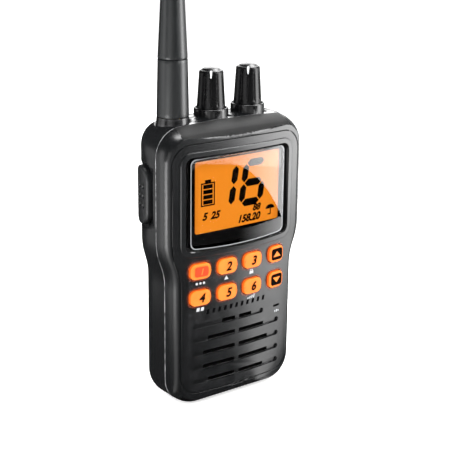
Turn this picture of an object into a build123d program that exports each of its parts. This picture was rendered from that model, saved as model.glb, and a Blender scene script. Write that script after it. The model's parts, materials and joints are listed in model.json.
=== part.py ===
"""Handheld marine radio: a waisted waterproof case with a display, keypad and
speaker grille in front, two knobs and an antenna on the deck, a side talk
button, and a battery pack with a belt clip behind.

Frame: X to the right, the front faces -Y, Z up. Shapes are drawn with the
front's crown at y = 0 and written with the middle of the flat base as the
origin. Sizes in millimetres.
"""
import os
from math import atan2, degrees, hypot, sqrt, tan

from build123d import *

os.makedirs("parts", exist_ok=True)

# ---------------------------------------------------------------- case sizes
HEAD_HALF = 33.2          # half width of the case at the display
GRIP_HALF = 29.4          # half width of the case at the grip
WAIST_LOW = 53.8          # height where the grip starts to widen
WAIST_HIGH = 63.4         # height where the head has its full width
WAIST_ROUND = 24.0        # radius of the two bends of the waist
WAIST_SHARE = 0.48        # most of the slope that one bend may take
CASE_TOP = 112.0          # middle of the deck
DECK_CROWN = 1.5          # fall of the deck from its middle to the corners
CORNER_ROUND = 11.0       # corners of the front outline
FRONT_RADIUS = 207.0      # convex front, curved about an upright axis
PARTING_Y = 8.2           # plane between the front and the rear shell
CASE_BACK = 27.0          # depth of the case
STAND_Y = 14.0            # middle of the flat base, where the origin of the parts is
SIDE_SHOULDER = 3.3       # how far the front edge is drawn in at the sides
TOP_SHOULDER = 7.0        # the same at the deck
BASE_SHOULDER = 5.6       # the same at the base
SHOULDER_Y = 2.0          # depth where the side shoulder meets the front
DECK_Y = 14.0             # depth where the deck starts to fall forwards
BASE_Y = 7.0              # depth where the flat base starts
HEAD_TURN = 12.5          # rounding from the side to the back, at the head
HEAD_TURN_Y = 13.8
GRIP_TURN = 10.0          # the same at the grip
GRIP_TURN_Y = 16.0
TOP_TURN = 7.0            # rounding from the deck to the back
TOP_TURN_Y = 19.0
BASE_TURN = 5.0           # rounding from the base to the back
BASE_TURN_Y = 21.0
FIT = 0.05                # play of a running fit on the radius
PLAY = 0.3                # gap round parts that move in an opening
SEAT = 0.1                # gap between parts that are put together
ROOM = 0.6                # gap round loose parts inside

# ------------------------------------------------------------- inner cavities
FRONT_WALL_Y = 4.0        # inner face of the front wall
FRONT_INSET = 3.2         # side wall of the front cavity
ROOF = 5.4                # thickness of the deck over the inner cavity
CAVITY_BASE = 3.0
BAY_FLOOR_Y = 13.4        # face of the battery bay
BAY_FLOOR_WALL = 1.8
HEAD_CAVITY_HALF = 25.0
HEAD_CAVITY_BASE = 75.0
HEAD_CAVITY_Y = 23.5
CAVITY_ROUND = 3.0

# -------------------------------------------------------------------- display
LCD_HALF = 20.0           # visible part of the display
LCD_BASE = 70.1
LCD_TOP = 98.0
LCD_ROUND = 1.0
LENS_HALF = 22.4
LENS_BASE = 64.6
LENS_TOP = 99.3
LENS_BOW = 1.0            # downward bow of the lower edge of the lens
LENS_BACK_Y = 2.2
LENS_ROUND = 2.2
LENS_CHAMFER = 0.25
MOAT_SIDE = 2.3           # open channel between lens and frame band
MOAT_END = 0.9
BAND = 2.0                # raised band round the channel
BAND_RISE = 0.5
BAND_ROUND = 0.45
GROOVE = 0.5              # groove round the front panel
SEAL_THICK = 0.5
SEAL_WIDE = 1.2
LCD_THICK = 1.6
LIGHT_THICK = 1.9
FRAME_HALF = 22.0         # holder of the display glass
FRAME_LAP = 0.6           # how far the holder covers the edge of the glass
FRAME_END = 2.2
GASKET_EDGE = 1.0         # case outline to the gasket groove
GASKET_WIDE = 1.0
GASKET_DROP = 1.0         # the gasket keeps below the deck
GASKET_DEEP = 1.0

# ------------------------------------------------------------------------ keys
KEY_PITCH_X = 12.3
KEY_PITCH_Z = 10.65
KEYS_ACROSS = 4
KEY_MIDDLE_Z = 50.4
KEY_LONG = 9.0
KEY_TALL = 6.2
STEP_KEY_LONG = 7.6       # the two stepping keys at the right
STEP_KEY_TALL = 6.7
KEY_ROUND = 2.3
KEY_RISE = 1.3            # height of a key above the front
KEY_TRAVEL = 0.6
KEY_FLANGE = 0.8
KEY_FLANGE_THICK = 0.6
WEB_THICK = 0.6
DOME_RADIUS = 2.4
DOME_RISE = 0.35
BOARD_Y = 6.9             # front face of the main board
BOARD_THICK = 1.6
BOARD_HALF = 24.0
BOARD_BASE = 29.0
BOARD_TOP = 103.0
BOARD_ROUND = 2.0
WEB_MARGIN = 1.6          # keypad web beyond the outer keys
WEB_RIM = 1.0
CAN_DEEP = 2.6
CAN_WALL = 0.3
CAN_LONG = 18.0
CAN_TALL = 20.0
CAN_X = 11.0
CAN_Z = 61.0

# --------------------------------------------------------------------- speaker
SLOT_HALF = 21.2
SLOT_SHORT_END = 12.8     # right end of the top slot, short of the microphone
SLOT_TALL = 2.1
SLOT_DEEP = 0.9
SLOT_TOP_Z = 33.2
SLOT_PITCH = 5.8
SLOT_ROWS = 5
GRILLE_MIDDLE_Z = 18.7
GRILLE_RADIUS = 16.2      # circle that holds the openings of the slots
GRILLE_TALL = 1.7
BAR_HALF = 1.0            # bar between the left and right openings
SPEAKER_Z = 20.0
SPEAKER_RADIUS = 16.0
SPEAKER_RIM = 1.0
SPEAKER_WALL = 0.8
SPEAKER_CUP = 4.2         # depth of the basket behind its rim
MAGNET_RADIUS = 8.0
MAGNET_THICK = 1.9
CONE_RADIUS = 14.4
CONE_NECK = 5.0
CONE_DEEP = 2.6
CONE_THICK = 0.4
CONE_CAP = 0.6
FELT_THICK = 0.4
MIC_X = 20.0
MIC_Z = 33.4
MIC_LONG = 3.4
MIC_TALL = 0.9
MIC_RADIUS = 3.0
BOOT_WALL = 0.7
DRAIN_Z = 5.2
DRAIN_LONG = 6.0
DRAIN_TALL = 1.0

# ------------------------------------------------------------ deck and controls
AXIS_Y = 15.1             # the knobs and the antenna stand on one line
AXIS_PITCH = 17.7
ANTENNA_INSET = 12.5      # from the left side of the head to the antenna's axis
COLLAR_RADIUS = 6.65
COLLAR_RISE = 2.7         # height of the knob collars above the deck
COLLAR_ROUND = 0.5
CUP_DEEP = 1.7            # depth of the cup inside a collar
KNOB_CLEAR = 0.4          # gap under a knob
KNOB_TALL = 16.8
KNOB_RIM = 1.9            # height of the domed top of a knob
KNOB_CROWN = 0.5          # flat middle of the dome
KNOB_EDGE = 0.5
KNOB_RADIUS = 5.6
KNOB_TOP_RADIUS = 4.65
KNOB_FLUTES = 12
FLUTE_RADIUS = 0.45
KNOB_ANGLE = -37.4        # rest turn of both knobs from straight ahead
POINTER_LONG = 4.0
POINTER_WIDE = 1.5
POINTER_DEEP = 0.6
FLUTE_START = 2.4         # from the foot of a knob to its flutes
FLUTE_END = 3.4           # from the flutes to the top of a knob
SHAFT_RADIUS = 2.0
SHAFT_FLAT = 1.4
SHAFT_CAP = 4.2           # solid top of a knob above its shaft
BUSHING_RADIUS = 3.0
BUSHING_RISE = 2.2        # height of the threaded bushing above the cup's floor
NUT_ACROSS = 7.6
NUT_THICK = 1.6
POT_WIDE = 9.5
POT_DEEP = 10.5
POT_TALL = 6.5
POT_SHAFT_DEPTH = 3.0
KNOB_WALL = 1.0

# --------------------------------------------------------------------- antenna
ANTENNA_ROOT = 21.5       # height of the sheath's thick root
ANTENNA_TAPER = 33.1      # height of the long taper above the root
ANTENNA_END = 68.0        # height of the slim end above the taper
ANTENNA_ROOT_RADIUS = 6.1
ANTENNA_SEAM_RADIUS = 5.6
ANTENNA_BEND_RADIUS = 3.9
ANTENNA_TIP_RADIUS = 3.3
ANTENNA_GAP = 0.2         # gap between the sheath and its collar
SEAM_CHAMFER = 0.3
TIP_FLAT = 0.3            # flat middle of the rounded tip
CORE_RADIUS = 1.5
CORE_END = 8.0            # solid rubber above the core
BOSS_DROP = 1.8           # from the deck down to the seat of the antenna collar
SLEEVE_TALL = 3.0         # height of the antenna collar
COLLAR_WALL = 1.1
COLLAR_ROOT_RADIUS = 6.4
COLLAR_MOUTH_RADIUS = 6.1
SOCKET_RADIUS = 3.5
SOCKET_BORE = 2.2
SOCKET_FLANGE = 4.8
SOCKET_FLANGE_THICK = 2.0
SOCKET_RISE = 6.6         # height of the socket above the foot of the sheath
SOCKET_CLEAR = 2.9        # room over the socket inside the ferrule
FERRULE_WALL = 1.1
RING_NUT_ACROSS = 8.4
RING_NUT_THICK = 1.4

# ----------------------------------------------------------------- talk button
TALK_Y = 17.6
TALK_Z = 84.4
TALK_HALF_TALL = 11.4
TALK_HALF_WIDE = 5.6
TALK_RISE = 1.3           # height above the side of the case
TALK_TRAVEL = 1.0
TALK_ROOT_X = -26.4       # inner face of the button
TALK_TAB = 1.2            # stop tabs above and below the button
TALK_TAB_WIDE = 6.0
TALK_TAB_THICK = 1.0
TALK_STEM_RADIUS = 1.5
TALK_STEM = 1.8
TALK_RIM = 2.0            # scooped rim round the button
TALK_RIM_DEEP = 0.9
TALK_ROUND = 1.0
DIMPLE_RADIUS = 0.8
DIMPLE_PITCH = 3.65
DIMPLE_STEP = 2.9
DIMPLE_DEEP = 0.4
DIMPLE_ROWS = 3
DIMPLE_COLUMNS = 3
SWITCH_SIZE = 6.0
SWITCH_DEEP = 2.6
TALK_BOARD_THICK = 1.0
TALK_BOARD_TALL = 14.0
TALK_BOARD_Y = 10.5
RIB_THICK = 1.6

# --------------------------------------------------------------- battery pack
PACK_BASE = 13.6
PACK_TOP = 70.4
PACK_Y = 19.5             # plane where the pack's cover meets the case
TRAY_HALF = 22.3
TRAY_BASE = 27.0
TRAY_TOP = 67.6
TRAY_WALL = 1.2
COVER_WALL = 2.0
CELL_GAP = 0.8
CELL_ROUND = 1.0
CONTACTS = 3
CONTACT_Z = 47.0
CONTACT_PITCH = 6.0
CONTACT_LONG = 6.0
CONTACT_WIDE = 3.0
CONTACT_THICK = 0.3
PIN_RADIUS = 0.9
PIN_HEAD_RADIUS = 1.4
PIN_HEAD = 1.0
PACK_SEAL_WIDE = 1.0
PACK_SEAL_GAP = 1.0       # from the tray to the seal round it
SEAL_GROOVE = 1.0
PACK_SCREW_Z = 20.0
SCREW_HEAD_RADIUS = 3.4
SCREW_HEAD_THICK = 2.6
SCREW_SHANK_RADIUS = 1.5
SCREW_HEAD_SUNK = 0.5
SCREW_SLOT_WIDE = 0.9
SCREW_SLOT_DEEP = 0.8
POCKET_RADIUS = 6.0
POCKET_DEEP = 3.2
INSERT_RADIUS = 2.6
INSERT_LONG = 4.6
PACK_SCREW_END_Y = 15.2
RING_RADIUS = 4.55
RING_WIRE = 0.65
RING_PIN_RADIUS = 0.55
RING_PIN = 1.2            # length of each ring pin inside the screw head
PEG_X = 14.0
PEG_RADIUS = 1.5
PEG_LONG = 3.0

# ------------------------------------------------------------------- belt clip
CLIP_PIVOT_Z = 60.0
CLIP_PIVOT_Y = 31.0
CLIP_PIN_RADIUS = 1.0
CLIP_WIDE = 18.0
CLIP_THICK = 1.6
CLIP_BASE = 28.4
CLIP_TOP = 69.0
CLIP_REACH = 2.8          # from the pivot to the inner face of the clip
CLIP_LIP_Z = 34.0         # height where the tongue bends towards the pack
CLIP_LIP_GAP = 0.8        # rest gap between the tongue and the pack
CLIP_BEND = 3.0
LUG_INNER = 2.2
LUG_THICK = 2.0
EAR_THICK = 1.8
EAR_ROUND = 2.3
EAR_GAP = 0.2             # side play between a lug and an ear
MOUNT_WIDE = 16.0
MOUNT_TALL = 15.0
MOUNT_THICK = 1.2
MOUNT_ROUND = 1.5
MOUNT_SCREW_STEP = 9.6
MOUNT_SCREW_RADIUS = 1.0
MOUNT_SCREW_LONG = 1.2
MOUNT_HEAD_RADIUS = 1.8
MOUNT_HEAD = 0.7
SPRING_RADIUS = 2.0
SPRING_GAP = 0.15
SPRING_LEG = 0.5
SPRING_LEG_LONG = 6.0

# --------------------------------------------------------------------- screws
SCREW_X_LOW = 20.6
SCREW_Z_LOW = 18.0
SCREW_X_HIGH = 25.4
SCREW_Z_HIGH = 66.0
BOSS_RADIUS = 2.8
SCREW_RADIUS = 1.1
SCREW_CAP_RADIUS = 2.0
SCREW_CAP = 1.3
SCREW_END_GAP = 0.5

# ------------------------------------------------- places that follow from them
CAVITY_TOP = CASE_TOP - ROOF
ANTENNA_X = ANTENNA_INSET - HEAD_HALF
VOLUME_X = ANTENNA_X + AXIS_PITCH
SQUELCH_X = VOLUME_X + AXIS_PITCH
COLLAR_TOP = CASE_TOP + COLLAR_RISE
CUP_FLOOR = COLLAR_TOP - CUP_DEEP
KNOB_BASE = CUP_FLOOR + KNOB_CLEAR
KNOB_TOP = KNOB_BASE + KNOB_TALL
FLUTE_BASE = KNOB_BASE + FLUTE_START
FLUTE_TOP = KNOB_TOP - FLUTE_END
SHAFT_TOP = KNOB_TOP - SHAFT_CAP
BUSHING_TOP = CUP_FLOOR + BUSHING_RISE
KNOB_HOLLOW = BUSHING_TOP + ROOM - KNOB_BASE
BOSS_TOP = CASE_TOP - BOSS_DROP
ANTENNA_BASE = BOSS_TOP + SLEEVE_TALL + ANTENNA_GAP
ANTENNA_SEAM = ANTENNA_BASE + ANTENNA_ROOT
ANTENNA_BEND = ANTENNA_SEAM + ANTENNA_TAPER
ANTENNA_TIP = ANTENNA_BEND + ANTENNA_END
SOCKET_TOP = ANTENNA_BASE + SOCKET_RISE
FERRULE_TOP = SOCKET_TOP + SOCKET_CLEAR + FERRULE_WALL


def depth(y):
    """Return an upright plane at depth y; its extrusions run to the front."""
    return Plane.XZ.offset(-y)


def level(z):
    """Return a horizontal plane at height z."""
    return Plane.XY.offset(z)


def drawn_in(reach, start, end, y):
    """Return the inset of an elliptic shoulder that runs from start to end."""
    share = min(1.0, max(0.0, (y - start) / (end - start)))
    return reach * (1 - sqrt(1 - share ** 2))


def waist_round(head, grip):
    """Return the radius of the waist's bends, held to what the slope has room for."""
    step = abs(head - grip)
    rise = WAIST_HIGH - WAIST_LOW
    return min(WAIST_ROUND, WAIST_SHARE * hypot(step, rise) / tan(atan2(step, rise) / 2))


def outline(head, grip, top, base, crown, top_round, base_round):
    """Return the waisted front outline as a flat sketch."""
    side = top - crown
    with BuildSketch() as shape:
        with BuildLine():
            Polyline((0, base), (grip, base), (grip, WAIST_LOW), (head, WAIST_HIGH), (head, side))
            ThreePointArc((head, side), (head / 2, top - crown / 4), (0, top))
            mirror(about=Plane.YZ)
        make_face()
        fillet([v for v in vertices() if abs(v.X) > 1 and v.Y > WAIST_HIGH + 1], top_round)
        fillet([v for v in vertices() if abs(v.X) > 1 and v.Y < base + 0.1], base_round)
        fillet([v for v in vertices() if WAIST_LOW - 1 < v.Y < WAIST_HIGH + 1],
               waist_round(head, grip))
    return shape.sketch


def skin_outline(y, wall=0.0):
    """Return the outline of the case at depth y, drawn in by the wall."""
    if y < PARTING_Y:
        side = drawn_in(SIDE_SHOULDER, PARTING_Y, SHOULDER_Y, y)
        head = HEAD_HALF - side
        grip = GRIP_HALF - side
        base = drawn_in(BASE_SHOULDER, BASE_Y, 0, y)
    else:
        head = HEAD_HALF - drawn_in(HEAD_TURN, HEAD_TURN_Y, CASE_BACK, y)
        grip = GRIP_HALF - drawn_in(GRIP_TURN, GRIP_TURN_Y, CASE_BACK, y)
        side = HEAD_HALF - head
        base = drawn_in(BASE_TURN, BASE_TURN_Y, CASE_BACK, y)
    fall = drawn_in(TOP_SHOULDER, DECK_Y, 0, y) + drawn_in(TOP_TURN, TOP_TURN_Y, CASE_BACK, y)
    top_round = max(CORNER_ROUND - side, CORNER_ROUND / 2)
    base_round = max(CORNER_ROUND - base, CORNER_ROUND / 2)
    return outline(head - wall, grip - wall, CASE_TOP - fall - wall, base + wall,
                   DECK_CROWN, top_round, base_round)


def skin(depths):
    """Return the case skin lofted through its outlines at the given depths."""
    with BuildPart() as body:
        for y in depths:
            with BuildSketch(depth(y)):
                add(skin_outline(y))
        loft()
    return body.part


def panel_outline(margin=0.0):
    """Return the outline of the front panel, drawn in by the margin."""
    inset = SIDE_SHOULDER + margin
    return outline(HEAD_HALF - inset, GRIP_HALF - inset, CASE_TOP - TOP_SHOULDER - margin,
                   BASE_SHOULDER + margin, DECK_CROWN / 3,
                   CORNER_ROUND - inset, CORNER_ROUND - inset)


def lens_outline(side=0.0, end=0.0):
    """Return the outline of the lens, widened by the given margins."""
    half = LENS_HALF + side
    base = LENS_BASE - end
    top = LENS_TOP + end
    with BuildSketch() as shape:
        with BuildLine():
            Polyline((half, base), (half, top), (-half, top), (-half, base))
            ThreePointArc((-half, base), (0, base - LENS_BOW), (half, base))
        make_face()
        fillet(vertices(), LENS_ROUND + end)
    return shape.sketch


def front_column(sink=0.0):
    """Return the upright column whose convex side is the front, sunk by sink."""
    with BuildPart() as column:
        with BuildSketch(Plane.XY):
            with Locations((0, FRONT_RADIUS)):
                Circle(FRONT_RADIUS - sink)
        extrude(amount=CASE_TOP)
    return column.part


def carved(shape, sink):
    """Return a cutter that sinks the given flat shape into the convex front."""
    with BuildPart() as cutter:
        with BuildSketch(depth(FRONT_WALL_Y)):
            add(shape)
        extrude(amount=2 * FRONT_WALL_Y)
        add(front_column(sink), mode=Mode.SUBTRACT)
    return cutter.part


def screw_places():
    """Return the places of the four case screws on an upright plane."""
    low = [(x, SCREW_Z_LOW) for x in (-SCREW_X_LOW, SCREW_X_LOW)]
    high = [(x, SCREW_Z_HIGH) for x in (-SCREW_X_HIGH, SCREW_X_HIGH)]
    return low + high


def key_places():
    """Return name, place and size of each key, row by row from the top left."""
    names = ["key_1", "key_2", "key_3", "key_up", "key_4", "key_5", "key_6", "key_down"]
    places = []
    for index, name in enumerate(names):
        column = index % KEYS_ACROSS
        row = index // KEYS_ACROSS
        x = (column - (KEYS_ACROSS - 1) / 2) * KEY_PITCH_X
        z = KEY_MIDDLE_Z + (0.5 - row) * KEY_PITCH_Z
        last = column == KEYS_ACROSS - 1
        size = (STEP_KEY_LONG, STEP_KEY_TALL) if last else (KEY_LONG, KEY_TALL)
        places.append((name, x, z, size[0], size[1]))
    return places


def slot_rows():
    """Return height, left end, right end and opening half width of each slot."""
    rows = []
    for row in range(SLOT_ROWS):
        z = SLOT_TOP_Z - row * SLOT_PITCH
        right = SLOT_SHORT_END if row == 0 else SLOT_HALF
        reach = sqrt(GRILLE_RADIUS ** 2 - (z - GRILLE_MIDDLE_Z) ** 2)
        rows.append((z, -SLOT_HALF, right, reach))
    return rows


def write(shape, name):
    """Move a shape so that the middle of the base is the origin, and write it."""
    piece = shape.moved(Location((0, -STAND_Y, 0)))
    piece.label = name
    export_step(piece, f"parts/{name}.step")


def finish(piece, name):
    """Write the finished part of a builder."""
    write(piece.part, name)


# ================================================================ front shell
with BuildSketch() as groove_shape:
    add(panel_outline(-GROOVE))
    add(panel_outline(), mode=Mode.SUBTRACT)

with BuildSketch() as slot_shapes:
    for z, left, right, reach in slot_rows():
        with Locations(((left + right) / 2, z)):
            SlotOverall(right - left, SLOT_TALL)
    with Locations((0, DRAIN_Z)):
        SlotOverall(DRAIN_LONG, DRAIN_TALL)

with BuildPart() as front_band:
    with BuildSketch(depth(FRONT_WALL_Y)):
        add(lens_outline(MOAT_SIDE + BAND, MOAT_END + BAND))
    extrude(amount=2 * FRONT_WALL_Y)
    add(front_column(-BAND_RISE), mode=Mode.INTERSECT)
    fillet(edges().filter_by(lambda e: e.center().Y < FRONT_WALL_Y - 0.5), BAND_ROUND)

with BuildPart() as front_case:
    add(skin([PARTING_Y, 6.8, 5.2, 3.7, 2.7, SHOULDER_Y]))
    add(skin([SHOULDER_Y, 1.3, 0.6, 0.0]))
    add(front_column(), mode=Mode.INTERSECT)
    add(front_band.part)
    with BuildSketch(depth(PARTING_Y)):
        add(outline(HEAD_HALF - FRONT_INSET, GRIP_HALF - FRONT_INSET, CAVITY_TOP, CAVITY_BASE,
                    DECK_CROWN, CORNER_ROUND - FRONT_INSET, CORNER_ROUND - FRONT_INSET))
    extrude(amount=PARTING_Y - FRONT_WALL_Y, mode=Mode.SUBTRACT)
    add(carved(groove_shape.sketch, GROOVE), mode=Mode.SUBTRACT)
    add(carved(slot_shapes.sketch, SLOT_DEEP), mode=Mode.SUBTRACT)
    with BuildSketch(depth(LENS_BACK_Y + SEAL_THICK)):
        add(lens_outline(MOAT_SIDE, MOAT_END))
    extrude(amount=2 * PARTING_Y, mode=Mode.SUBTRACT)
    with BuildSketch(depth(PARTING_Y)):
        with Locations((0, (LCD_TOP + LCD_BASE) / 2)):
            RectangleRounded(2 * (LCD_HALF + SEAT), LCD_TOP - LCD_BASE + 2 * SEAT, LCD_ROUND)
        for name, x, z, long, tall in key_places():
            with Locations((x, z)):
                RectangleRounded(long + 2 * PLAY, tall + 2 * PLAY, KEY_ROUND + PLAY)
        with Locations((MIC_X, MIC_Z)):
            SlotOverall(MIC_LONG, MIC_TALL)
        for z, left, right, reach in slot_rows():
            for side in (-1, 1):
                with Locations((side * (BAR_HALF + reach) / 2, z)):
                    Rectangle(reach - BAR_HALF, GRILLE_TALL)
    extrude(amount=2 * PARTING_Y, mode=Mode.SUBTRACT)
    with BuildSketch(depth(PARTING_Y)):
        with Locations(*screw_places()):
            Circle(BOSS_RADIUS)
    extrude(amount=PARTING_Y - FRONT_WALL_Y)
    with BuildSketch(depth(PARTING_Y)):
        with Locations(*screw_places()):
            Circle(SCREW_RADIUS)
    extrude(amount=PARTING_Y - FRONT_WALL_Y, mode=Mode.SUBTRACT)
finish(front_case, "front_case")


# ================================================================= rear shell
BACK_DEPTHS = [PARTING_Y, 11.0, HEAD_TURN_Y, 17.0, 20.0, 23.0, 25.4, 26.6, CASE_BACK]
back_form = skin(BACK_DEPTHS)
DECK_AXES = [(ANTENNA_X, AXIS_Y), (VOLUME_X, AXIS_Y), (SQUELCH_X, AXIS_Y)]
KNOB_AXES = DECK_AXES[1:]
BAY_FACE_Y = PACK_Y - SEAT
SCREW_SEAT_Y = BAY_FLOOR_Y - BAY_FLOOR_WALL
PACK_MIDDLE = (PACK_BASE + PACK_TOP) / 2
TRAY_MIDDLE = (TRAY_BASE + TRAY_TOP) / 2


def talk_shape(grow=0.0):
    """Return the outline of the talk button as a flat sketch, grown by grow."""
    with BuildSketch() as shape:
        with Locations((TALK_Y, TALK_Z)):
            SlotOverall(2 * (TALK_HALF_TALL + grow), 2 * (TALK_HALF_WIDE + grow), rotation=90)
    return shape.sketch


def talk_prism(shape, inner_x):
    """Return the given side outline as a prism from inner_x out to the left."""
    with BuildPart() as prism:
        with BuildSketch(Plane.YZ.offset(inner_x)):
            add(shape)
        extrude(amount=-HEAD_HALF)
    return prism.part


def side_column(rise):
    """Return an upright column shaped like the left side of the head."""
    with BuildPart() as column:
        with BuildSketch(level(TALK_Z - 2 * TALK_HALF_TALL)):
            with Locations((HEAD_TURN - HEAD_HALF, HEAD_TURN_Y)):
                Ellipse(HEAD_TURN + rise, CASE_BACK - HEAD_TURN_Y + rise)
            with Locations((HEAD_TURN - HEAD_HALF, HEAD_TURN_Y)):
                Rectangle(HEAD_TURN + rise, HEAD_TURN_Y, align=(Align.MAX, Align.MAX))
        extrude(amount=4 * TALK_HALF_TALL)
    return column.part


with BuildPart() as talk_scoop:
    add(talk_prism(talk_shape(TALK_RIM), TALK_ROOT_X - TALK_TAB_THICK))
    add(side_column(-TALK_RIM_DEEP), mode=Mode.SUBTRACT)

with BuildPart() as rear_case:
    add(back_form)
    with BuildSketch(level(BOSS_TOP)):
        with Locations((ANTENNA_X, AXIS_Y)):
            Circle(COLLAR_ROOT_RADIUS + SEAT)
    extrude(amount=CAVITY_TOP - BOSS_TOP)
    with BuildSketch(level(COLLAR_TOP)):
        with Locations(*KNOB_AXES):
            Circle(COLLAR_RADIUS)
    extrude(amount=CAVITY_TOP - COLLAR_TOP)
    fillet(edges().group_by(Axis.Z)[-1], COLLAR_ROUND)
    with BuildSketch(level(CUP_FLOOR)):
        with Locations(*KNOB_AXES):
            Circle(KNOB_RADIUS + PLAY)
    extrude(amount=KNOB_BASE, mode=Mode.SUBTRACT)
    with BuildSketch(level(BOSS_TOP)):
        with Locations((ANTENNA_X, AXIS_Y)):
            Circle(COLLAR_ROOT_RADIUS + SEAT)
    extrude(amount=ANTENNA_BASE, mode=Mode.SUBTRACT)
    with BuildSketch(depth(SCREW_SEAT_Y)):
        add(outline(HEAD_HALF - FRONT_INSET, GRIP_HALF - FRONT_INSET, CAVITY_TOP, CAVITY_BASE,
                    DECK_CROWN, CORNER_ROUND - FRONT_INSET, CORNER_ROUND - FRONT_INSET))
        with Locations(*screw_places()):
            Circle(BOSS_RADIUS, mode=Mode.SUBTRACT)
    extrude(amount=SCREW_SEAT_Y - PARTING_Y, mode=Mode.SUBTRACT)
    with BuildSketch(depth(HEAD_CAVITY_Y)):
        with Locations((0, (HEAD_CAVITY_BASE + CAVITY_TOP) / 2)):
            RectangleRounded(2 * HEAD_CAVITY_HALF, CAVITY_TOP - HEAD_CAVITY_BASE, CAVITY_ROUND)
    extrude(amount=HEAD_CAVITY_Y - PARTING_Y, mode=Mode.SUBTRACT)
    with BuildSketch(depth(CASE_BACK + 1)):
        with Locations((0, PACK_MIDDLE)):
            Rectangle(3 * HEAD_HALF, PACK_TOP - PACK_BASE + 2 * SEAT)
    extrude(amount=CASE_BACK + 1 - BAY_FACE_Y, mode=Mode.SUBTRACT)
    with BuildSketch(depth(BAY_FACE_Y)):
        with Locations((0, TRAY_MIDDLE)):
            Rectangle(2 * (TRAY_HALF + SEAT), TRAY_TOP - TRAY_BASE + 2 * SEAT)
    extrude(amount=BAY_FACE_Y - BAY_FLOOR_Y, mode=Mode.SUBTRACT)
    with BuildSketch(depth(BAY_FACE_Y)):
        with Locations(*screw_places()):
            Circle(SCREW_CAP_RADIUS + SEAT)
    extrude(amount=BAY_FACE_Y - SCREW_SEAT_Y, mode=Mode.SUBTRACT)
    with BuildSketch(depth(BAY_FACE_Y)):
        with Locations(*screw_places()):
            Circle(SCREW_RADIUS + SEAT)
    extrude(amount=BAY_FACE_Y - PARTING_Y, mode=Mode.SUBTRACT)
    with BuildSketch(depth(BAY_FACE_Y)):
        with Locations((0, PACK_SCREW_Z)):
            Circle(INSERT_RADIUS)
    extrude(amount=INSERT_LONG, mode=Mode.SUBTRACT)
    with BuildSketch(depth(BAY_FACE_Y)):
        with Locations((-PEG_X, PACK_SCREW_Z), (PEG_X, PACK_SCREW_Z)):
            Circle(PEG_RADIUS + FIT)
    extrude(amount=PEG_LONG + PLAY, mode=Mode.SUBTRACT)
    with BuildSketch(depth(BAY_FLOOR_Y)):
        with Locations((0, CONTACT_Z)):
            with GridLocations(CONTACT_PITCH, 1, CONTACTS, 1):
                Circle(PIN_RADIUS)
    extrude(amount=BAY_FLOOR_WALL, mode=Mode.SUBTRACT)
    with BuildSketch(level(CAVITY_TOP)):
        with Locations((ANTENNA_X, AXIS_Y)):
            Circle(SOCKET_FLANGE + SEAT)
    extrude(amount=-SOCKET_FLANGE_THICK - SEAT, mode=Mode.SUBTRACT)
    with BuildSketch(level(CAVITY_TOP)):
        with Locations(*KNOB_AXES):
            Circle(BUSHING_RADIUS + FIT)
        with Locations((ANTENNA_X, AXIS_Y)):
            Circle(SOCKET_RADIUS + FIT)
    extrude(amount=COLLAR_TOP - CAVITY_TOP, mode=Mode.SUBTRACT)
    with BuildSketch(depth(PARTING_Y + GASKET_DEEP)):
        for share, mode in ((0, Mode.ADD), (1, Mode.SUBTRACT)):
            inset = GASKET_EDGE + share * GASKET_WIDE
            add(outline(HEAD_HALF - inset, GRIP_HALF - inset, CASE_TOP - GASKET_DROP - inset, inset,
                        DECK_CROWN, CORNER_ROUND - inset, CORNER_ROUND - inset), mode=mode)
    extrude(amount=GASKET_DEEP, mode=Mode.SUBTRACT)
    with BuildSketch(level(0)):
        Rectangle(3 * HEAD_HALF, 3 * CASE_BACK)
    extrude(amount=-1, mode=Mode.SUBTRACT)
    add(talk_scoop.part, mode=Mode.SUBTRACT)
    add(talk_prism(talk_shape(PLAY), 1 - HEAD_CAVITY_HALF), mode=Mode.SUBTRACT)
    with BuildSketch(Plane.YZ.offset(TALK_ROOT_X - TALK_TAB_THICK - SEAT)):
        with Locations((TALK_Y, TALK_Z)):
            Rectangle(TALK_TAB_WIDE + 2 * PLAY, 2 * (TALK_HALF_TALL + TALK_TAB + PLAY))
    extrude(amount=TALK_TAB_THICK + TALK_TRAVEL + 1, mode=Mode.SUBTRACT)
    with BuildSketch(depth(HEAD_CAVITY_Y)):
        with Locations((TALK_ROOT_X + TALK_STEM + TALK_TRAVEL + SEAT + SWITCH_DEEP
                        + TALK_BOARD_THICK, TALK_Z)):
            Rectangle(RIB_THICK, TALK_BOARD_TALL, align=(Align.MIN, Align.CENTER))
    extrude(amount=HEAD_CAVITY_Y - TALK_BOARD_Y)
finish(rear_case, "rear_case")

with BuildPart() as case_gasket:
    with BuildSketch(depth(PARTING_Y + GASKET_DEEP)):
        for share, mode in ((0, Mode.ADD), (1, Mode.SUBTRACT)):
            inset = GASKET_EDGE + FIT + share * (GASKET_WIDE - 2 * FIT)
            add(outline(HEAD_HALF - inset, GRIP_HALF - inset, CASE_TOP - GASKET_DROP - inset, inset,
                        DECK_CROWN, CORNER_ROUND - inset, CORNER_ROUND - inset), mode=mode)
    extrude(amount=GASKET_DEEP)
finish(case_gasket, "case_gasket")

with BuildPart() as case_screws:
    with BuildSketch(depth(SCREW_SEAT_Y + SCREW_CAP)):
        with Locations(*screw_places()):
            Circle(SCREW_CAP_RADIUS)
    extrude(amount=SCREW_CAP)
    with BuildSketch(depth(SCREW_SEAT_Y)):
        with Locations(*screw_places()):
            Circle(SCREW_RADIUS)
    extrude(amount=SCREW_SEAT_Y - FRONT_WALL_Y - SCREW_END_GAP)
    with BuildSketch(depth(SCREW_SEAT_Y + SCREW_CAP)):
        with Locations(*screw_places()):
            RegularPolygon(SCREW_RADIUS, 6)
    extrude(amount=SCREW_CAP / 2, mode=Mode.SUBTRACT)
finish(case_screws, "case_screws")


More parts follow.
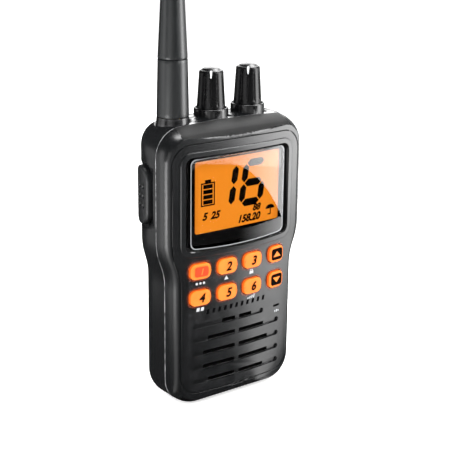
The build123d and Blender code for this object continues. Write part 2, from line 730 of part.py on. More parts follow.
# ==================================================================== display
with BuildPart() as display_window:
    with BuildSketch(depth(LENS_BACK_Y)):
        add(lens_outline())
    extrude(amount=2 * LENS_BACK_Y)
    add(front_column(), mode=Mode.INTERSECT)
    chamfer(edges().filter_by(lambda e: e.center().Y < LENS_BACK_Y - 0.5), LENS_CHAMFER)
finish(display_window, "display_window")

with BuildPart() as window_seal:
    with BuildSketch(depth(LENS_BACK_Y + SEAL_THICK)):
        add(lens_outline())
        add(lens_outline(-SEAL_WIDE, -SEAL_WIDE), mode=Mode.SUBTRACT)
    extrude(amount=SEAL_THICK)
finish(window_seal, "window_seal")

LCD_MIDDLE = (LCD_TOP + LCD_BASE) / 2
LCD_TALL = LCD_TOP - LCD_BASE
LCD_BACK_Y = LENS_BACK_Y + SEAT + LCD_THICK

with BuildPart() as lcd_panel:
    with BuildSketch(depth(LCD_BACK_Y)):
        with Locations((0, LCD_MIDDLE)):
            RectangleRounded(2 * LCD_HALF, LCD_TALL, LCD_ROUND)
    extrude(amount=LCD_THICK)
finish(lcd_panel, "lcd_panel")

with BuildPart() as lcd_frame:
    with BuildSketch(depth(BOARD_Y)):
        with Locations((0, LCD_MIDDLE)):
            RectangleRounded(2 * FRAME_HALF, LCD_TALL + 2 * FRAME_END, LCD_ROUND)
            Rectangle(2 * (LCD_HALF - FRAME_LAP), LCD_TALL - 2 * FRAME_LAP, mode=Mode.SUBTRACT)
    extrude(amount=BOARD_Y - FRONT_WALL_Y)
finish(lcd_frame, "lcd_frame")

with BuildPart() as light_plate:
    with BuildSketch(depth(LCD_BACK_Y + LIGHT_THICK)):
        with Locations((0, LCD_MIDDLE)):
            Rectangle(2 * (LCD_HALF - FRAME_LAP - SEAT), LCD_TALL - 2 * (FRAME_LAP + SEAT))
    extrude(amount=LIGHT_THICK)
finish(light_plate, "light_plate")

# ===================================================================== keypad
for name, x, z, long, tall in key_places():
    with BuildPart() as key:
        with BuildSketch(depth(FRONT_WALL_Y)):
            with Locations((x, z)):
                RectangleRounded(long, tall, KEY_ROUND)
        extrude(amount=2 * FRONT_WALL_Y)
        add(front_column(-KEY_RISE), mode=Mode.INTERSECT)
        fillet(edges().filter_by(lambda e: e.center().Y < FRONT_WALL_Y - 0.5), KEY_RISE / 2)
        with BuildSketch(depth(FRONT_WALL_Y)):
            with Locations((x, z)):
                RectangleRounded(long + 2 * KEY_FLANGE, tall + 2 * KEY_FLANGE, KEY_ROUND)
        extrude(amount=-KEY_FLANGE_THICK)
    finish(key, name)

WEB_Y = FRONT_WALL_Y + KEY_FLANGE_THICK + KEY_TRAVEL + PLAY
WEB_LONG = (KEYS_ACROSS - 1) * KEY_PITCH_X + KEY_LONG + 2 * (KEY_FLANGE + WEB_MARGIN)
WEB_TALL = KEY_PITCH_Z + STEP_KEY_TALL + 2 * (KEY_FLANGE + WEB_MARGIN)

with BuildPart() as keypad_web:
    with BuildSketch(depth(WEB_Y + WEB_THICK)):
        with Locations((0, KEY_MIDDLE_Z)):
            RectangleRounded(WEB_LONG, WEB_TALL, KEY_ROUND)
    extrude(amount=WEB_THICK)
    with BuildSketch(depth(BOARD_Y)):
        with Locations((0, KEY_MIDDLE_Z)):
            RectangleRounded(WEB_LONG, WEB_TALL, KEY_ROUND)
            Rectangle(WEB_LONG - 2 * WEB_RIM, WEB_TALL - 2 * WEB_RIM, mode=Mode.SUBTRACT)
    extrude(amount=BOARD_Y - FRONT_WALL_Y)
finish(keypad_web, "keypad_web")

with BuildPart() as key_domes:
    with BuildSketch(depth(BOARD_Y)):
        with Locations(*[(x, z) for name, x, z, long, tall in key_places()]):
            Circle(DOME_RADIUS)
    extrude(amount=DOME_RISE, taper=45)
finish(key_domes, "key_domes")

# ================================================================ electronics
with BuildPart() as main_board:
    with BuildSketch(depth(BOARD_Y + BOARD_THICK)):
        with Locations((0, (BOARD_TOP + BOARD_BASE) / 2)):
            RectangleRounded(2 * BOARD_HALF, BOARD_TOP - BOARD_BASE, BOARD_ROUND)
        with Locations((0, SPEAKER_Z)):
            Circle(SPEAKER_RADIUS + ROOM, mode=Mode.SUBTRACT)
        with Locations(*screw_places()):
            Circle(BOSS_RADIUS + ROOM, mode=Mode.SUBTRACT)
    extrude(amount=BOARD_THICK)
finish(main_board, "main_board")

with BuildPart() as shield_cans:
    with BuildSketch(depth(BOARD_Y + BOARD_THICK + CAN_DEEP)):
        with Locations((-CAN_X, CAN_Z), (CAN_X, CAN_Z)):
            Rectangle(CAN_LONG, CAN_TALL)
    extrude(amount=CAN_DEEP)
    with BuildSketch(depth(BOARD_Y + BOARD_THICK + CAN_DEEP - CAN_WALL)):
        with Locations((-CAN_X, CAN_Z), (CAN_X, CAN_Z)):
            Rectangle(CAN_LONG - 2 * CAN_WALL, CAN_TALL - 2 * CAN_WALL)
    extrude(amount=CAN_DEEP, mode=Mode.SUBTRACT)
finish(shield_cans, "shield_cans")

with BuildPart() as mic_boot:
    with BuildSketch(depth(BOARD_Y)):
        with Locations((MIC_X, MIC_Z)):
            Circle(MIC_RADIUS + BOOT_WALL)
    extrude(amount=BOARD_Y - FRONT_WALL_Y)
    with BuildSketch(depth(BOARD_Y)):
        with Locations((MIC_X, MIC_Z)):
            Circle(MIC_RADIUS)
    extrude(amount=BOARD_Y - FRONT_WALL_Y - BOOT_WALL, mode=Mode.SUBTRACT)
    with BuildSketch(depth(BOARD_Y)):
        with Locations((MIC_X, MIC_Z)):
            Circle(MIC_LONG / 2)
    extrude(amount=BOARD_Y, mode=Mode.SUBTRACT)
finish(mic_boot, "mic_boot")

with BuildPart() as microphone:
    with BuildSketch(depth(BOARD_Y)):
        with Locations((MIC_X, MIC_Z)):
            Circle(MIC_RADIUS)
    extrude(amount=BOARD_Y - FRONT_WALL_Y - BOOT_WALL)
finish(microphone, "microphone")

# ==================================================================== speaker
RIM_Y = FRONT_WALL_Y + FELT_THICK

with BuildPart() as speaker_felt:
    with BuildSketch(depth(RIM_Y)):
        with Locations((0, SPEAKER_Z)):
            Circle(SPEAKER_RADIUS)
    extrude(amount=FELT_THICK)
finish(speaker_felt, "speaker_felt")

with BuildPart() as speaker_frame:
    with BuildSketch(Plane.XY):
        with BuildLine():
            Polyline((0, RIM_Y + SPEAKER_CUP), (MAGNET_RADIUS + 1, RIM_Y + SPEAKER_CUP),
                     (SPEAKER_RADIUS - SPEAKER_WALL, RIM_Y + SPEAKER_RIM),
                     (SPEAKER_RADIUS, RIM_Y + SPEAKER_RIM), (SPEAKER_RADIUS, RIM_Y),
                     (CONE_RADIUS, RIM_Y), (CONE_RADIUS, RIM_Y + SPEAKER_RIM / 2),
                     (MAGNET_RADIUS, RIM_Y + SPEAKER_CUP - SPEAKER_WALL),
                     (0, RIM_Y + SPEAKER_CUP - SPEAKER_WALL), close=True)
        make_face()
    revolve(axis=Axis.Y)
speaker_frame.part = speaker_frame.part.moved(Location((0, 0, SPEAKER_Z)))
finish(speaker_frame, "speaker_frame")

with BuildPart() as speaker_cone:
    with BuildSketch(Plane.XY):
        with BuildLine():
            Polyline((0, RIM_Y + CONE_DEEP - CONE_CAP), (CONE_NECK, RIM_Y + CONE_DEEP),
                     (CONE_RADIUS - SEAT, RIM_Y), (CONE_RADIUS - SEAT, RIM_Y + CONE_THICK),
                     (CONE_NECK, RIM_Y + CONE_DEEP + CONE_THICK),
                     (0, RIM_Y + CONE_DEEP + CONE_THICK - CONE_CAP), close=True)
        make_face()
    revolve(axis=Axis.Y)
speaker_cone.part = speaker_cone.part.moved(Location((0, 0, SPEAKER_Z)))
finish(speaker_cone, "speaker_cone")

with BuildPart() as speaker_magnet:
    with BuildSketch(depth(RIM_Y + SPEAKER_CUP + MAGNET_THICK)):
        with Locations((0, SPEAKER_Z)):
            Circle(MAGNET_RADIUS)
    extrude(amount=MAGNET_THICK)
finish(speaker_magnet, "speaker_magnet")


# ============================================================== deck controls
def pot(x):
    """Return the body and threaded bushing of a rotary control at x."""
    with BuildPart() as body:
        with BuildSketch(level(CAVITY_TOP - POT_TALL)):
            with Locations((x, AXIS_Y)):
                Rectangle(POT_WIDE, POT_DEEP)
        extrude(amount=POT_TALL)
        with BuildSketch(level(CAVITY_TOP)):
            with Locations((x, AXIS_Y)):
                Circle(BUSHING_RADIUS)
        extrude(amount=BUSHING_TOP - CAVITY_TOP)
        with BuildSketch(level(CAVITY_TOP - POT_SHAFT_DEPTH - PLAY)):
            with Locations((x, AXIS_Y)):
                Circle(SHAFT_RADIUS + FIT)
        extrude(amount=BUSHING_TOP, mode=Mode.SUBTRACT)
    return body


def flatted(radius, flat):
    """Return a circle cut by a flat, as used by the control shafts."""
    with BuildSketch() as shape:
        Circle(radius)
        with Locations((0, flat)):
            Rectangle(2 * radius, radius, align=(Align.CENTER, Align.MIN), mode=Mode.SUBTRACT)
    return shape.sketch


def place_on_axis(shape, x, name):
    """Turn a part drawn round the origin to its rest on a control axis and write it."""
    write(shape.moved(Location((x, AXIS_Y, 0), (0, 0, KNOB_ANGLE))), name)


with BuildPart() as shaft_form:
    with BuildSketch(level(CAVITY_TOP - POT_SHAFT_DEPTH)):
        Circle(SHAFT_RADIUS)
    extrude(amount=BUSHING_TOP - CAVITY_TOP + POT_SHAFT_DEPTH)
    with BuildSketch(level(BUSHING_TOP)):
        add(flatted(SHAFT_RADIUS, SHAFT_FLAT))
    extrude(amount=SHAFT_TOP - BUSHING_TOP)

KNOB_TAPER = degrees(atan2(KNOB_RADIUS - KNOB_TOP_RADIUS, KNOB_TOP - KNOB_RIM - KNOB_BASE))

with BuildPart() as knob_form:
    with BuildSketch(Plane.XZ):
        with BuildLine():
            Polyline((KNOB_CROWN, KNOB_TOP), (0, KNOB_TOP), (0, KNOB_BASE), (KNOB_RADIUS, KNOB_BASE),
                     (KNOB_TOP_RADIUS, KNOB_TOP - KNOB_RIM))
            Spline((KNOB_TOP_RADIUS, KNOB_TOP - KNOB_RIM),
                   (KNOB_TOP_RADIUS / 2, KNOB_TOP - KNOB_RIM / 4), (KNOB_CROWN, KNOB_TOP))
        make_face()
    revolve(axis=Axis.Z)
    fillet(edges().filter_by(lambda e: abs(e.center().Z - KNOB_TOP + KNOB_RIM) < 0.2), KNOB_EDGE)
    with Locations((0, 0, (FLUTE_BASE + FLUTE_TOP) / 2)):
        with PolarLocations((KNOB_RADIUS + KNOB_TOP_RADIUS) / 2 + FIT, KNOB_FLUTES):
            Cylinder(FLUTE_RADIUS, FLUTE_TOP - FLUTE_BASE, rotation=(0, -KNOB_TAPER, 0),
                     mode=Mode.SUBTRACT)
    with BuildSketch(level(KNOB_BASE)):
        Circle(KNOB_RADIUS - KNOB_WALL)
    extrude(amount=KNOB_HOLLOW, mode=Mode.SUBTRACT)
    with BuildSketch(level(KNOB_BASE)):
        add(flatted(SHAFT_RADIUS + FIT, SHAFT_FLAT + FIT))
    extrude(amount=SHAFT_TOP + SEAT - KNOB_BASE, mode=Mode.SUBTRACT)
    with BuildSketch(depth(POINTER_DEEP - KNOB_TOP_RADIUS)):
        with Locations((0, KNOB_TOP)):
            SlotOverall(2 * POINTER_LONG, POINTER_WIDE, rotation=90)
    extrude(amount=KNOB_RADIUS, mode=Mode.SUBTRACT)

for name, x in (("volume", VOLUME_X), ("squelch", SQUELCH_X)):
    finish(pot(x), f"{name}_pot")
    place_on_axis(shaft_form.part, x, f"{name}_shaft")
    place_on_axis(knob_form.part, x, f"{name}_knob")

with BuildPart() as pot_nuts:
    with BuildSketch(level(CUP_FLOOR)):
        with Locations(*KNOB_AXES):
            RegularPolygon(NUT_ACROSS / 2, 6, major_radius=False)
            Circle(BUSHING_RADIUS + FIT, mode=Mode.SUBTRACT)
    extrude(amount=NUT_THICK)
finish(pot_nuts, "pot_nuts")


# ==================================================================== antenna
def turned(*profile):
    """Return the profile of radius and height turned about the antenna axis."""
    with BuildPart() as solid:
        with BuildSketch(Plane.XZ):
            with BuildLine():
                Polyline(*profile, close=True)
            make_face()
        revolve(axis=Axis.Z)
    return solid.part.moved(Location((ANTENNA_X, AXIS_Y, 0)))


SOCKET_BASE = CAVITY_TOP - SOCKET_FLANGE_THICK
NUT_TOP = BOSS_TOP + RING_NUT_THICK
FERRULE_INNER = SOCKET_RADIUS + FIT
FERRULE_OUTER = FERRULE_INNER + FERRULE_WALL

with BuildPart() as antenna_socket:
    add(turned((SOCKET_BORE, SOCKET_BASE), (SOCKET_FLANGE, SOCKET_BASE),
               (SOCKET_FLANGE, CAVITY_TOP), (SOCKET_RADIUS, CAVITY_TOP),
               (SOCKET_RADIUS, SOCKET_TOP), (SOCKET_BORE, SOCKET_TOP)))
finish(antenna_socket, "antenna_socket")

with BuildPart() as antenna_nut:
    with BuildSketch(level(BOSS_TOP)):
        with Locations((ANTENNA_X, AXIS_Y)):
            RegularPolygon(RING_NUT_ACROSS / 2, 6, major_radius=False)
            Circle(SOCKET_RADIUS + FIT, mode=Mode.SUBTRACT)
    extrude(amount=RING_NUT_THICK)
finish(antenna_nut, "antenna_nut")

with BuildPart() as antenna_seal:
    add(turned((SOCKET_RADIUS + FIT, NUT_TOP), (COLLAR_MOUTH_RADIUS - COLLAR_WALL - SEAT, NUT_TOP),
               (COLLAR_MOUTH_RADIUS - COLLAR_WALL - SEAT, ANTENNA_BASE - PLAY),
               (SOCKET_RADIUS + FIT, ANTENNA_BASE - PLAY)))
finish(antenna_seal, "antenna_seal")

with BuildPart() as antenna_collar:
    add(turned((COLLAR_ROOT_RADIUS - COLLAR_WALL, BOSS_TOP), (COLLAR_ROOT_RADIUS, BOSS_TOP),
               (COLLAR_MOUTH_RADIUS, ANTENNA_BASE - ANTENNA_GAP),
               (COLLAR_MOUTH_RADIUS - COLLAR_WALL, ANTENNA_BASE - ANTENNA_GAP)))
finish(antenna_collar, "antenna_collar")

with BuildPart() as antenna_ferrule:
    add(turned((FERRULE_INNER, ANTENNA_BASE), (FERRULE_OUTER, ANTENNA_BASE),
               (FERRULE_OUTER, FERRULE_TOP), (0, FERRULE_TOP),
               (0, FERRULE_TOP - FERRULE_WALL), (FERRULE_INNER, FERRULE_TOP - FERRULE_WALL)))
finish(antenna_ferrule, "antenna_ferrule")

with BuildPart() as antenna_base:
    add(turned((FERRULE_OUTER, ANTENNA_BASE), (ANTENNA_ROOT_RADIUS, ANTENNA_BASE),
               (ANTENNA_SEAM_RADIUS, ANTENNA_SEAM - SEAM_CHAMFER),
               (ANTENNA_SEAM_RADIUS - SEAM_CHAMFER, ANTENNA_SEAM), (CORE_RADIUS, ANTENNA_SEAM),
               (CORE_RADIUS, FERRULE_TOP), (FERRULE_OUTER, FERRULE_TOP)))
finish(antenna_base, "antenna_base")

with BuildPart() as antenna_whip:
    add(turned((CORE_RADIUS, ANTENNA_SEAM), (ANTENNA_SEAM_RADIUS - SEAM_CHAMFER, ANTENNA_SEAM),
               (ANTENNA_SEAM_RADIUS, ANTENNA_SEAM + SEAM_CHAMFER),
               (ANTENNA_BEND_RADIUS, ANTENNA_BEND), (ANTENNA_TIP_RADIUS, ANTENNA_TIP),
               (0, ANTENNA_TIP), (0, ANTENNA_TIP - CORE_END),
               (CORE_RADIUS, ANTENNA_TIP - CORE_END)))
    fillet(edges().group_by(Axis.Z)[-1], ANTENNA_TIP_RADIUS - TIP_FLAT)
finish(antenna_whip, "antenna_whip")

with BuildPart() as antenna_core:
    with BuildSketch(level(FERRULE_TOP)):
        with Locations((ANTENNA_X, AXIS_Y)):
            Circle(CORE_RADIUS)
    extrude(amount=ANTENNA_TIP - CORE_END - FERRULE_TOP)
finish(antenna_core, "antenna_core")

# ================================================================ talk button
with BuildSketch() as dimple_shapes:
    with Locations((TALK_Y, TALK_Z)):
        with GridLocations(DIMPLE_STEP, DIMPLE_PITCH, DIMPLE_COLUMNS, DIMPLE_ROWS):
            Circle(DIMPLE_RADIUS)

with BuildPart() as talk_dimples:
    add(talk_prism(dimple_shapes.sketch, TALK_ROOT_X))
    add(side_column(TALK_RISE - DIMPLE_DEEP), mode=Mode.SUBTRACT)

with BuildPart() as ptt_button:
    add(talk_prism(talk_shape(), TALK_ROOT_X))
    add(side_column(TALK_RISE), mode=Mode.INTERSECT)
    fillet(edges().filter_by(lambda e: e.center().X < TALK_ROOT_X - 1), TALK_ROUND)
    add(talk_dimples.part, mode=Mode.SUBTRACT)
    with BuildSketch(Plane.YZ.offset(TALK_ROOT_X - TALK_TAB_THICK)):
        with Locations((TALK_Y, TALK_Z)):
            Rectangle(TALK_TAB_WIDE, 2 * (TALK_HALF_TALL + TALK_TAB))
    extrude(amount=TALK_TAB_THICK)
    with BuildSketch(Plane.YZ.offset(TALK_ROOT_X)):
        with Locations((TALK_Y, TALK_Z)):
            Circle(TALK_STEM_RADIUS)
    extrude(amount=TALK_STEM)
finish(ptt_button, "ptt_button")

SWITCH_X = TALK_ROOT_X + TALK_STEM + TALK_TRAVEL + SEAT

with BuildPart() as ptt_switch:
    with BuildSketch(Plane.YZ.offset(SWITCH_X)):
        with Locations((TALK_Y, TALK_Z)):
            Rectangle(SWITCH_SIZE, SWITCH_SIZE)
    extrude(amount=SWITCH_DEEP)
finish(ptt_switch, "ptt_switch")

with BuildPart() as ptt_board:
    with BuildSketch(Plane.YZ.offset(SWITCH_X + SWITCH_DEEP)):
        with Locations(((TALK_BOARD_Y + HEAD_CAVITY_Y) / 2, TALK_Z)):
            Rectangle(HEAD_CAVITY_Y - TALK_BOARD_Y, TALK_BOARD_TALL)
    extrude(amount=TALK_BOARD_THICK)
finish(ptt_board, "ptt_board")

# =============================================================== battery pack
TRAY_FACE_Y = BAY_FLOOR_Y + SEAT
CONTACT_FACE_Y = TRAY_FACE_Y + SEAT
COVER_CAVITY_Y = CASE_BACK - COVER_WALL
HEAD_SEAT_Y = CASE_BACK - SCREW_HEAD_SUNK - SCREW_HEAD_THICK
SEAL_HALF = TRAY_HALF + PACK_SEAL_GAP
SEAL_TALL = TRAY_TOP - TRAY_BASE + 2 * PACK_SEAL_GAP

with BuildPart() as contact_pins:
    with BuildSketch(depth(TRAY_FACE_Y)):
        with Locations((0, CONTACT_Z)):
            with GridLocations(CONTACT_PITCH, 1, CONTACTS, 1):
                Circle(PIN_RADIUS)
    extrude(amount=TRAY_FACE_Y - BOARD_Y - BOARD_THICK)
    with BuildSketch(depth(SCREW_SEAT_Y)):
        with Locations((0, CONTACT_Z)):
            with GridLocations(CONTACT_PITCH, 1, CONTACTS, 1):
                Circle(PIN_HEAD_RADIUS)
    extrude(amount=PIN_HEAD)
finish(contact_pins, "contact_pins")

with BuildPart() as pack_insert:
    with BuildSketch(depth(BAY_FACE_Y)):
        with Locations((0, PACK_SCREW_Z)):
            Circle(INSERT_RADIUS)
            Circle(SCREW_SHANK_RADIUS + FIT, mode=Mode.SUBTRACT)
    extrude(amount=INSERT_LONG)
finish(pack_insert, "pack_insert")

with BuildPart() as battery_cover:
    with BuildSketch(depth(CASE_BACK + 1)):
        with Locations((0, PACK_MIDDLE)):
            Rectangle(3 * HEAD_HALF, PACK_TOP - PACK_BASE)
    extrude(amount=CASE_BACK + 1 - PACK_Y)
    add(back_form, mode=Mode.INTERSECT)
    with BuildSketch(depth(COVER_CAVITY_Y)):
        with Locations((0, TRAY_MIDDLE)):
            Rectangle(2 * (TRAY_HALF - TRAY_WALL), TRAY_TOP - TRAY_BASE - 2 * TRAY_WALL)
    extrude(amount=COVER_CAVITY_Y - PACK_Y, mode=Mode.SUBTRACT)
    with BuildSketch(depth(PACK_Y + SEAL_GROOVE)):
        with Locations((0, TRAY_MIDDLE)):
            Rectangle(2 * (SEAL_HALF + PACK_SEAL_WIDE), SEAL_TALL + 2 * PACK_SEAL_WIDE)
            Rectangle(2 * SEAL_HALF, SEAL_TALL, mode=Mode.SUBTRACT)
    extrude(amount=SEAL_GROOVE, mode=Mode.SUBTRACT)
    with BuildSketch(depth(CASE_BACK + 1)):
        with Locations((0, PACK_SCREW_Z)):
            Circle(POCKET_RADIUS)
    extrude(amount=POCKET_DEEP + 1, mode=Mode.SUBTRACT)
    with BuildSketch(depth(CASE_BACK)):
        with Locations((0, PACK_SCREW_Z)):
            Circle(SCREW_SHANK_RADIUS + FIT)
    extrude(amount=CASE_BACK - PACK_Y, mode=Mode.SUBTRACT)
    with BuildSketch(depth(CASE_BACK)):
        with Locations((0, CLIP_PIVOT_Z)):
            with GridLocations(1, MOUNT_SCREW_STEP, 1, 2):
                Circle(MOUNT_SCREW_RADIUS + FIT)
    extrude(amount=MOUNT_SCREW_LONG + SEAT, mode=Mode.SUBTRACT)
    with BuildSketch(depth(PACK_Y)):
        with Locations((-PEG_X, PACK_SCREW_Z), (PEG_X, PACK_SCREW_Z)):
            Circle(PEG_RADIUS)
    extrude(amount=PEG_LONG)
finish(battery_cover, "battery_cover")

with BuildPart() as battery_tray:
    with BuildSketch(depth(PACK_Y)):
        with Locations((0, TRAY_MIDDLE)):
            Rectangle(2 * TRAY_HALF, TRAY_TOP - TRAY_BASE)
    extrude(amount=PACK_Y - TRAY_FACE_Y)
    with BuildSketch(depth(PACK_Y)):
        with Locations((0, TRAY_MIDDLE)):
            Rectangle(2 * (TRAY_HALF - TRAY_WALL), TRAY_TOP - TRAY_BASE - 2 * TRAY_WALL)
    extrude(amount=PACK_Y - TRAY_FACE_Y - TRAY_WALL, mode=Mode.SUBTRACT)
    with BuildSketch(depth(CONTACT_FACE_Y + CONTACT_THICK)):
        with Locations((0, CONTACT_Z)):
            with GridLocations(CONTACT_PITCH, 1, CONTACTS, 1):
                Rectangle(CONTACT_WIDE, CONTACT_LONG)
    extrude(amount=CONTACT_THICK + SEAT, mode=Mode.SUBTRACT)
finish(battery_tray, "battery_tray")

with BuildPart() as pack_contacts:
    with BuildSketch(depth(CONTACT_FACE_Y + CONTACT_THICK)):
        with Locations((0, CONTACT_Z)):
            with GridLocations(CONTACT_PITCH, 1, CONTACTS, 1):
                Rectangle(CONTACT_WIDE, CONTACT_LONG)
    extrude(amount=CONTACT_THICK)
finish(pack_contacts, "pack_contacts")

CELL_FRONT_Y = TRAY_FACE_Y + TRAY_WALL
CELL_LONG = TRAY_HALF - TRAY_WALL - 1.5 * CELL_GAP

with BuildPart() as battery_cells:
    with BuildSketch(depth(COVER_CAVITY_Y - CELL_GAP)):
        with Locations((0, TRAY_MIDDLE)):
            with GridLocations(CELL_LONG + CELL_GAP, 1, 2, 1):
                RectangleRounded(CELL_LONG, TRAY_TOP - TRAY_BASE - 2 * (TRAY_WALL + CELL_GAP),
                                 CELL_ROUND)
    extrude(amount=COVER_CAVITY_Y - CELL_GAP - CELL_FRONT_Y)
finish(battery_cells, "battery_cells")

with BuildPart() as pack_seal:
    with BuildSketch(depth(PACK_Y + SEAL_GROOVE)):
        with Locations((0, TRAY_MIDDLE)):
            Rectangle(2 * (SEAL_HALF + PACK_SEAL_WIDE), SEAL_TALL + 2 * PACK_SEAL_WIDE)
            Rectangle(2 * SEAL_HALF, SEAL_TALL, mode=Mode.SUBTRACT)
    extrude(amount=SEAL_GROOVE - PLAY)
finish(pack_seal, "pack_seal")

RING_Y = HEAD_SEAT_Y + SCREW_HEAD_THICK / 2

with BuildPart() as pack_screw:
    with BuildSketch(depth(HEAD_SEAT_Y + SCREW_HEAD_THICK)):
        with Locations((0, PACK_SCREW_Z)):
            Circle(SCREW_HEAD_RADIUS)
    extrude(amount=SCREW_HEAD_THICK)
    with BuildSketch(depth(HEAD_SEAT_Y)):
        with Locations((0, PACK_SCREW_Z)):
            Circle(SCREW_SHANK_RADIUS)
    extrude(amount=HEAD_SEAT_Y - PACK_SCREW_END_Y)
    with BuildSketch(depth(HEAD_SEAT_Y + SCREW_HEAD_THICK)):
        with Locations((0, PACK_SCREW_Z)):
            Rectangle(2 * SCREW_HEAD_RADIUS, SCREW_SLOT_WIDE)
    extrude(amount=SCREW_SLOT_DEEP, mode=Mode.SUBTRACT)
    with BuildSketch(Plane.YZ.offset(-SCREW_HEAD_RADIUS)):
        with Locations((RING_Y, PACK_SCREW_Z)):
            Circle(RING_PIN_RADIUS + FIT)
    extrude(amount=RING_PIN + SEAT, mode=Mode.SUBTRACT)
    with BuildSketch(Plane.YZ.offset(SCREW_HEAD_RADIUS)):
        with Locations((RING_Y, PACK_SCREW_Z)):
            Circle(RING_PIN_RADIUS + FIT)
    extrude(amount=-RING_PIN - SEAT, mode=Mode.SUBTRACT)
finish(pack_screw, "pack_screw")

with BuildPart() as pack_ring:
    with BuildSketch(level(PACK_SCREW_Z)):
        with Locations((-RING_RADIUS, RING_Y)):
            Circle(RING_WIRE)
    revolve(axis=Axis((0, RING_Y, PACK_SCREW_Z), (0, -1, 0)), revolution_arc=180)
    for side in (-1, 1):
        with BuildSketch(level(PACK_SCREW_Z)):
            with Locations((side * RING_RADIUS, RING_Y)):
                Circle(RING_WIRE)
        extrude(amount=RING_WIRE)
        with BuildSketch(Plane.YZ.offset(side * RING_RADIUS)):
            with Locations((RING_Y, PACK_SCREW_Z)):
                Circle(RING_PIN_RADIUS)
        extrude(amount=side * (SCREW_HEAD_RADIUS - RING_PIN - RING_RADIUS))
finish(pack_ring, "pack_ring")

# =================================================================== belt clip
MOUNT_Y = CASE_BACK + MOUNT_THICK
EAR_INNER = LUG_INNER + LUG_THICK + EAR_GAP
CLIP_MIDDLE_Y = CLIP_PIVOT_Y + CLIP_REACH + CLIP_THICK / 2
LIP_MIDDLE_Y = CASE_BACK + CLIP_LIP_GAP + CLIP_THICK / 2


def pivot_plate(x, thick, root_y):
    """Return a rounded plate at x that joins the clip pivot to a face at root_y."""
    with BuildPart() as plate:
        with BuildSketch(Plane.YZ.offset(x)):
            with Locations((CLIP_PIVOT_Y, CLIP_PIVOT_Z)):
                Circle(EAR_ROUND)
            with Locations(((CLIP_PIVOT_Y + root_y) / 2, CLIP_PIVOT_Z)):
                Rectangle(abs(root_y - CLIP_PIVOT_Y), 2 * EAR_ROUND)
            with Locations((CLIP_PIVOT_Y, CLIP_PIVOT_Z)):
                Circle(CLIP_PIN_RADIUS + FIT, mode=Mode.SUBTRACT)
        extrude(amount=thick)
    return plate.part


with BuildPart() as clip_mount:
    with BuildSketch(depth(MOUNT_Y)):
        with Locations((0, CLIP_PIVOT_Z)):
            RectangleRounded(MOUNT_WIDE, MOUNT_TALL, MOUNT_ROUND)
    extrude(amount=MOUNT_THICK)
    with BuildSketch(depth(MOUNT_Y)):
        with Locations((0, CLIP_PIVOT_Z)):
            with GridLocations(1, MOUNT_SCREW_STEP, 1, 2):
                Circle(MOUNT_HEAD_RADIUS)
    extrude(amount=MOUNT_HEAD, mode=Mode.SUBTRACT)
    with BuildSketch(depth(MOUNT_Y)):
        with Locations((0, CLIP_PIVOT_Z)):
            with GridLocations(1, MOUNT_SCREW_STEP, 1, 2):
                Circle(MOUNT_SCREW_RADIUS + FIT)
    extrude(amount=MOUNT_THICK, mode=Mode.SUBTRACT)
    add(pivot_plate(EAR_INNER, EAR_THICK, MOUNT_Y))
    add(pivot_plate(-EAR_INNER - EAR_THICK, EAR_THICK, MOUNT_Y))
finish(clip_mount, "clip_mount")

with BuildPart() as clip_screws:
    with BuildSketch(depth(MOUNT_Y)):
        with Locations((0, CLIP_PIVOT_Z)):
            with GridLocations(1, MOUNT_SCREW_STEP, 1, 2):
                Circle(MOUNT_HEAD_RADIUS)
    extrude(amount=MOUNT_HEAD)
    with BuildSketch(depth(MOUNT_Y - MOUNT_HEAD)):
        with Locations((0, CLIP_PIVOT_Z)):
            with GridLocations(1, MOUNT_SCREW_STEP, 1, 2):
                Circle(MOUNT_SCREW_RADIUS)
    extrude(amount=MOUNT_THICK - MOUNT_HEAD + MOUNT_SCREW_LONG)
finish(clip_screws, "clip_screws")

with BuildPart() as belt_clip:
    with BuildSketch(Plane.YZ.offset(-CLIP_WIDE / 2)):
        with BuildLine():
            FilletPolyline((CLIP_MIDDLE_Y, CLIP_TOP), (CLIP_MIDDLE_Y, CLIP_LIP_Z),
                           (LIP_MIDDLE_Y, CLIP_LIP_Z - CLIP_BEND),
                           (LIP_MIDDLE_Y + CLIP_BEND / 2, CLIP_BASE), radius=CLIP_BEND / 2)
        trace(line_width=CLIP_THICK)
    extrude(amount=CLIP_WIDE)
    add(pivot_plate(LUG_INNER, LUG_THICK, CLIP_MIDDLE_Y))
    add(pivot_plate(-LUG_INNER - LUG_THICK, LUG_THICK, CLIP_MIDDLE_Y))
finish(belt_clip, "belt_clip")

with BuildPart() as clip_pin:
    with BuildSketch(Plane.YZ.offset(-EAR_INNER - EAR_THICK)):
        with Locations((CLIP_PIVOT_Y, CLIP_PIVOT_Z)):
            Circle(CLIP_PIN_RADIUS)
    extrude(amount=2 * (EAR_INNER + EAR_THICK))
finish(clip_pin, "clip_pin")

with BuildPart() as clip_spring:
    with BuildSketch(Plane.YZ.offset(SPRING_GAP - LUG_INNER)):
        with Locations((CLIP_PIVOT_Y, CLIP_PIVOT_Z)):
            Circle(SPRING_RADIUS)
        with Locations((CLIP_PIVOT_Y - SPRING_RADIUS, CLIP_PIVOT_Z)):
            Rectangle(SPRING_LEG, SPRING_LEG_LONG, align=(Align.MIN, Align.MAX))
        with Locations((CLIP_PIVOT_Y + SPRING_RADIUS, CLIP_PIVOT_Z)):
            Rectangle(SPRING_LEG, SPRING_LEG_LONG, align=(Align.MAX, Align.MIN))
        with Locations((CLIP_PIVOT_Y, CLIP_PIVOT_Z)):
            Circle(CLIP_PIN_RADIUS + SPRING_GAP, mode=Mode.SUBTRACT)
    extrude(amount=2 * (LUG_INNER - SPRING_GAP))
finish(clip_spring, "clip_spring")
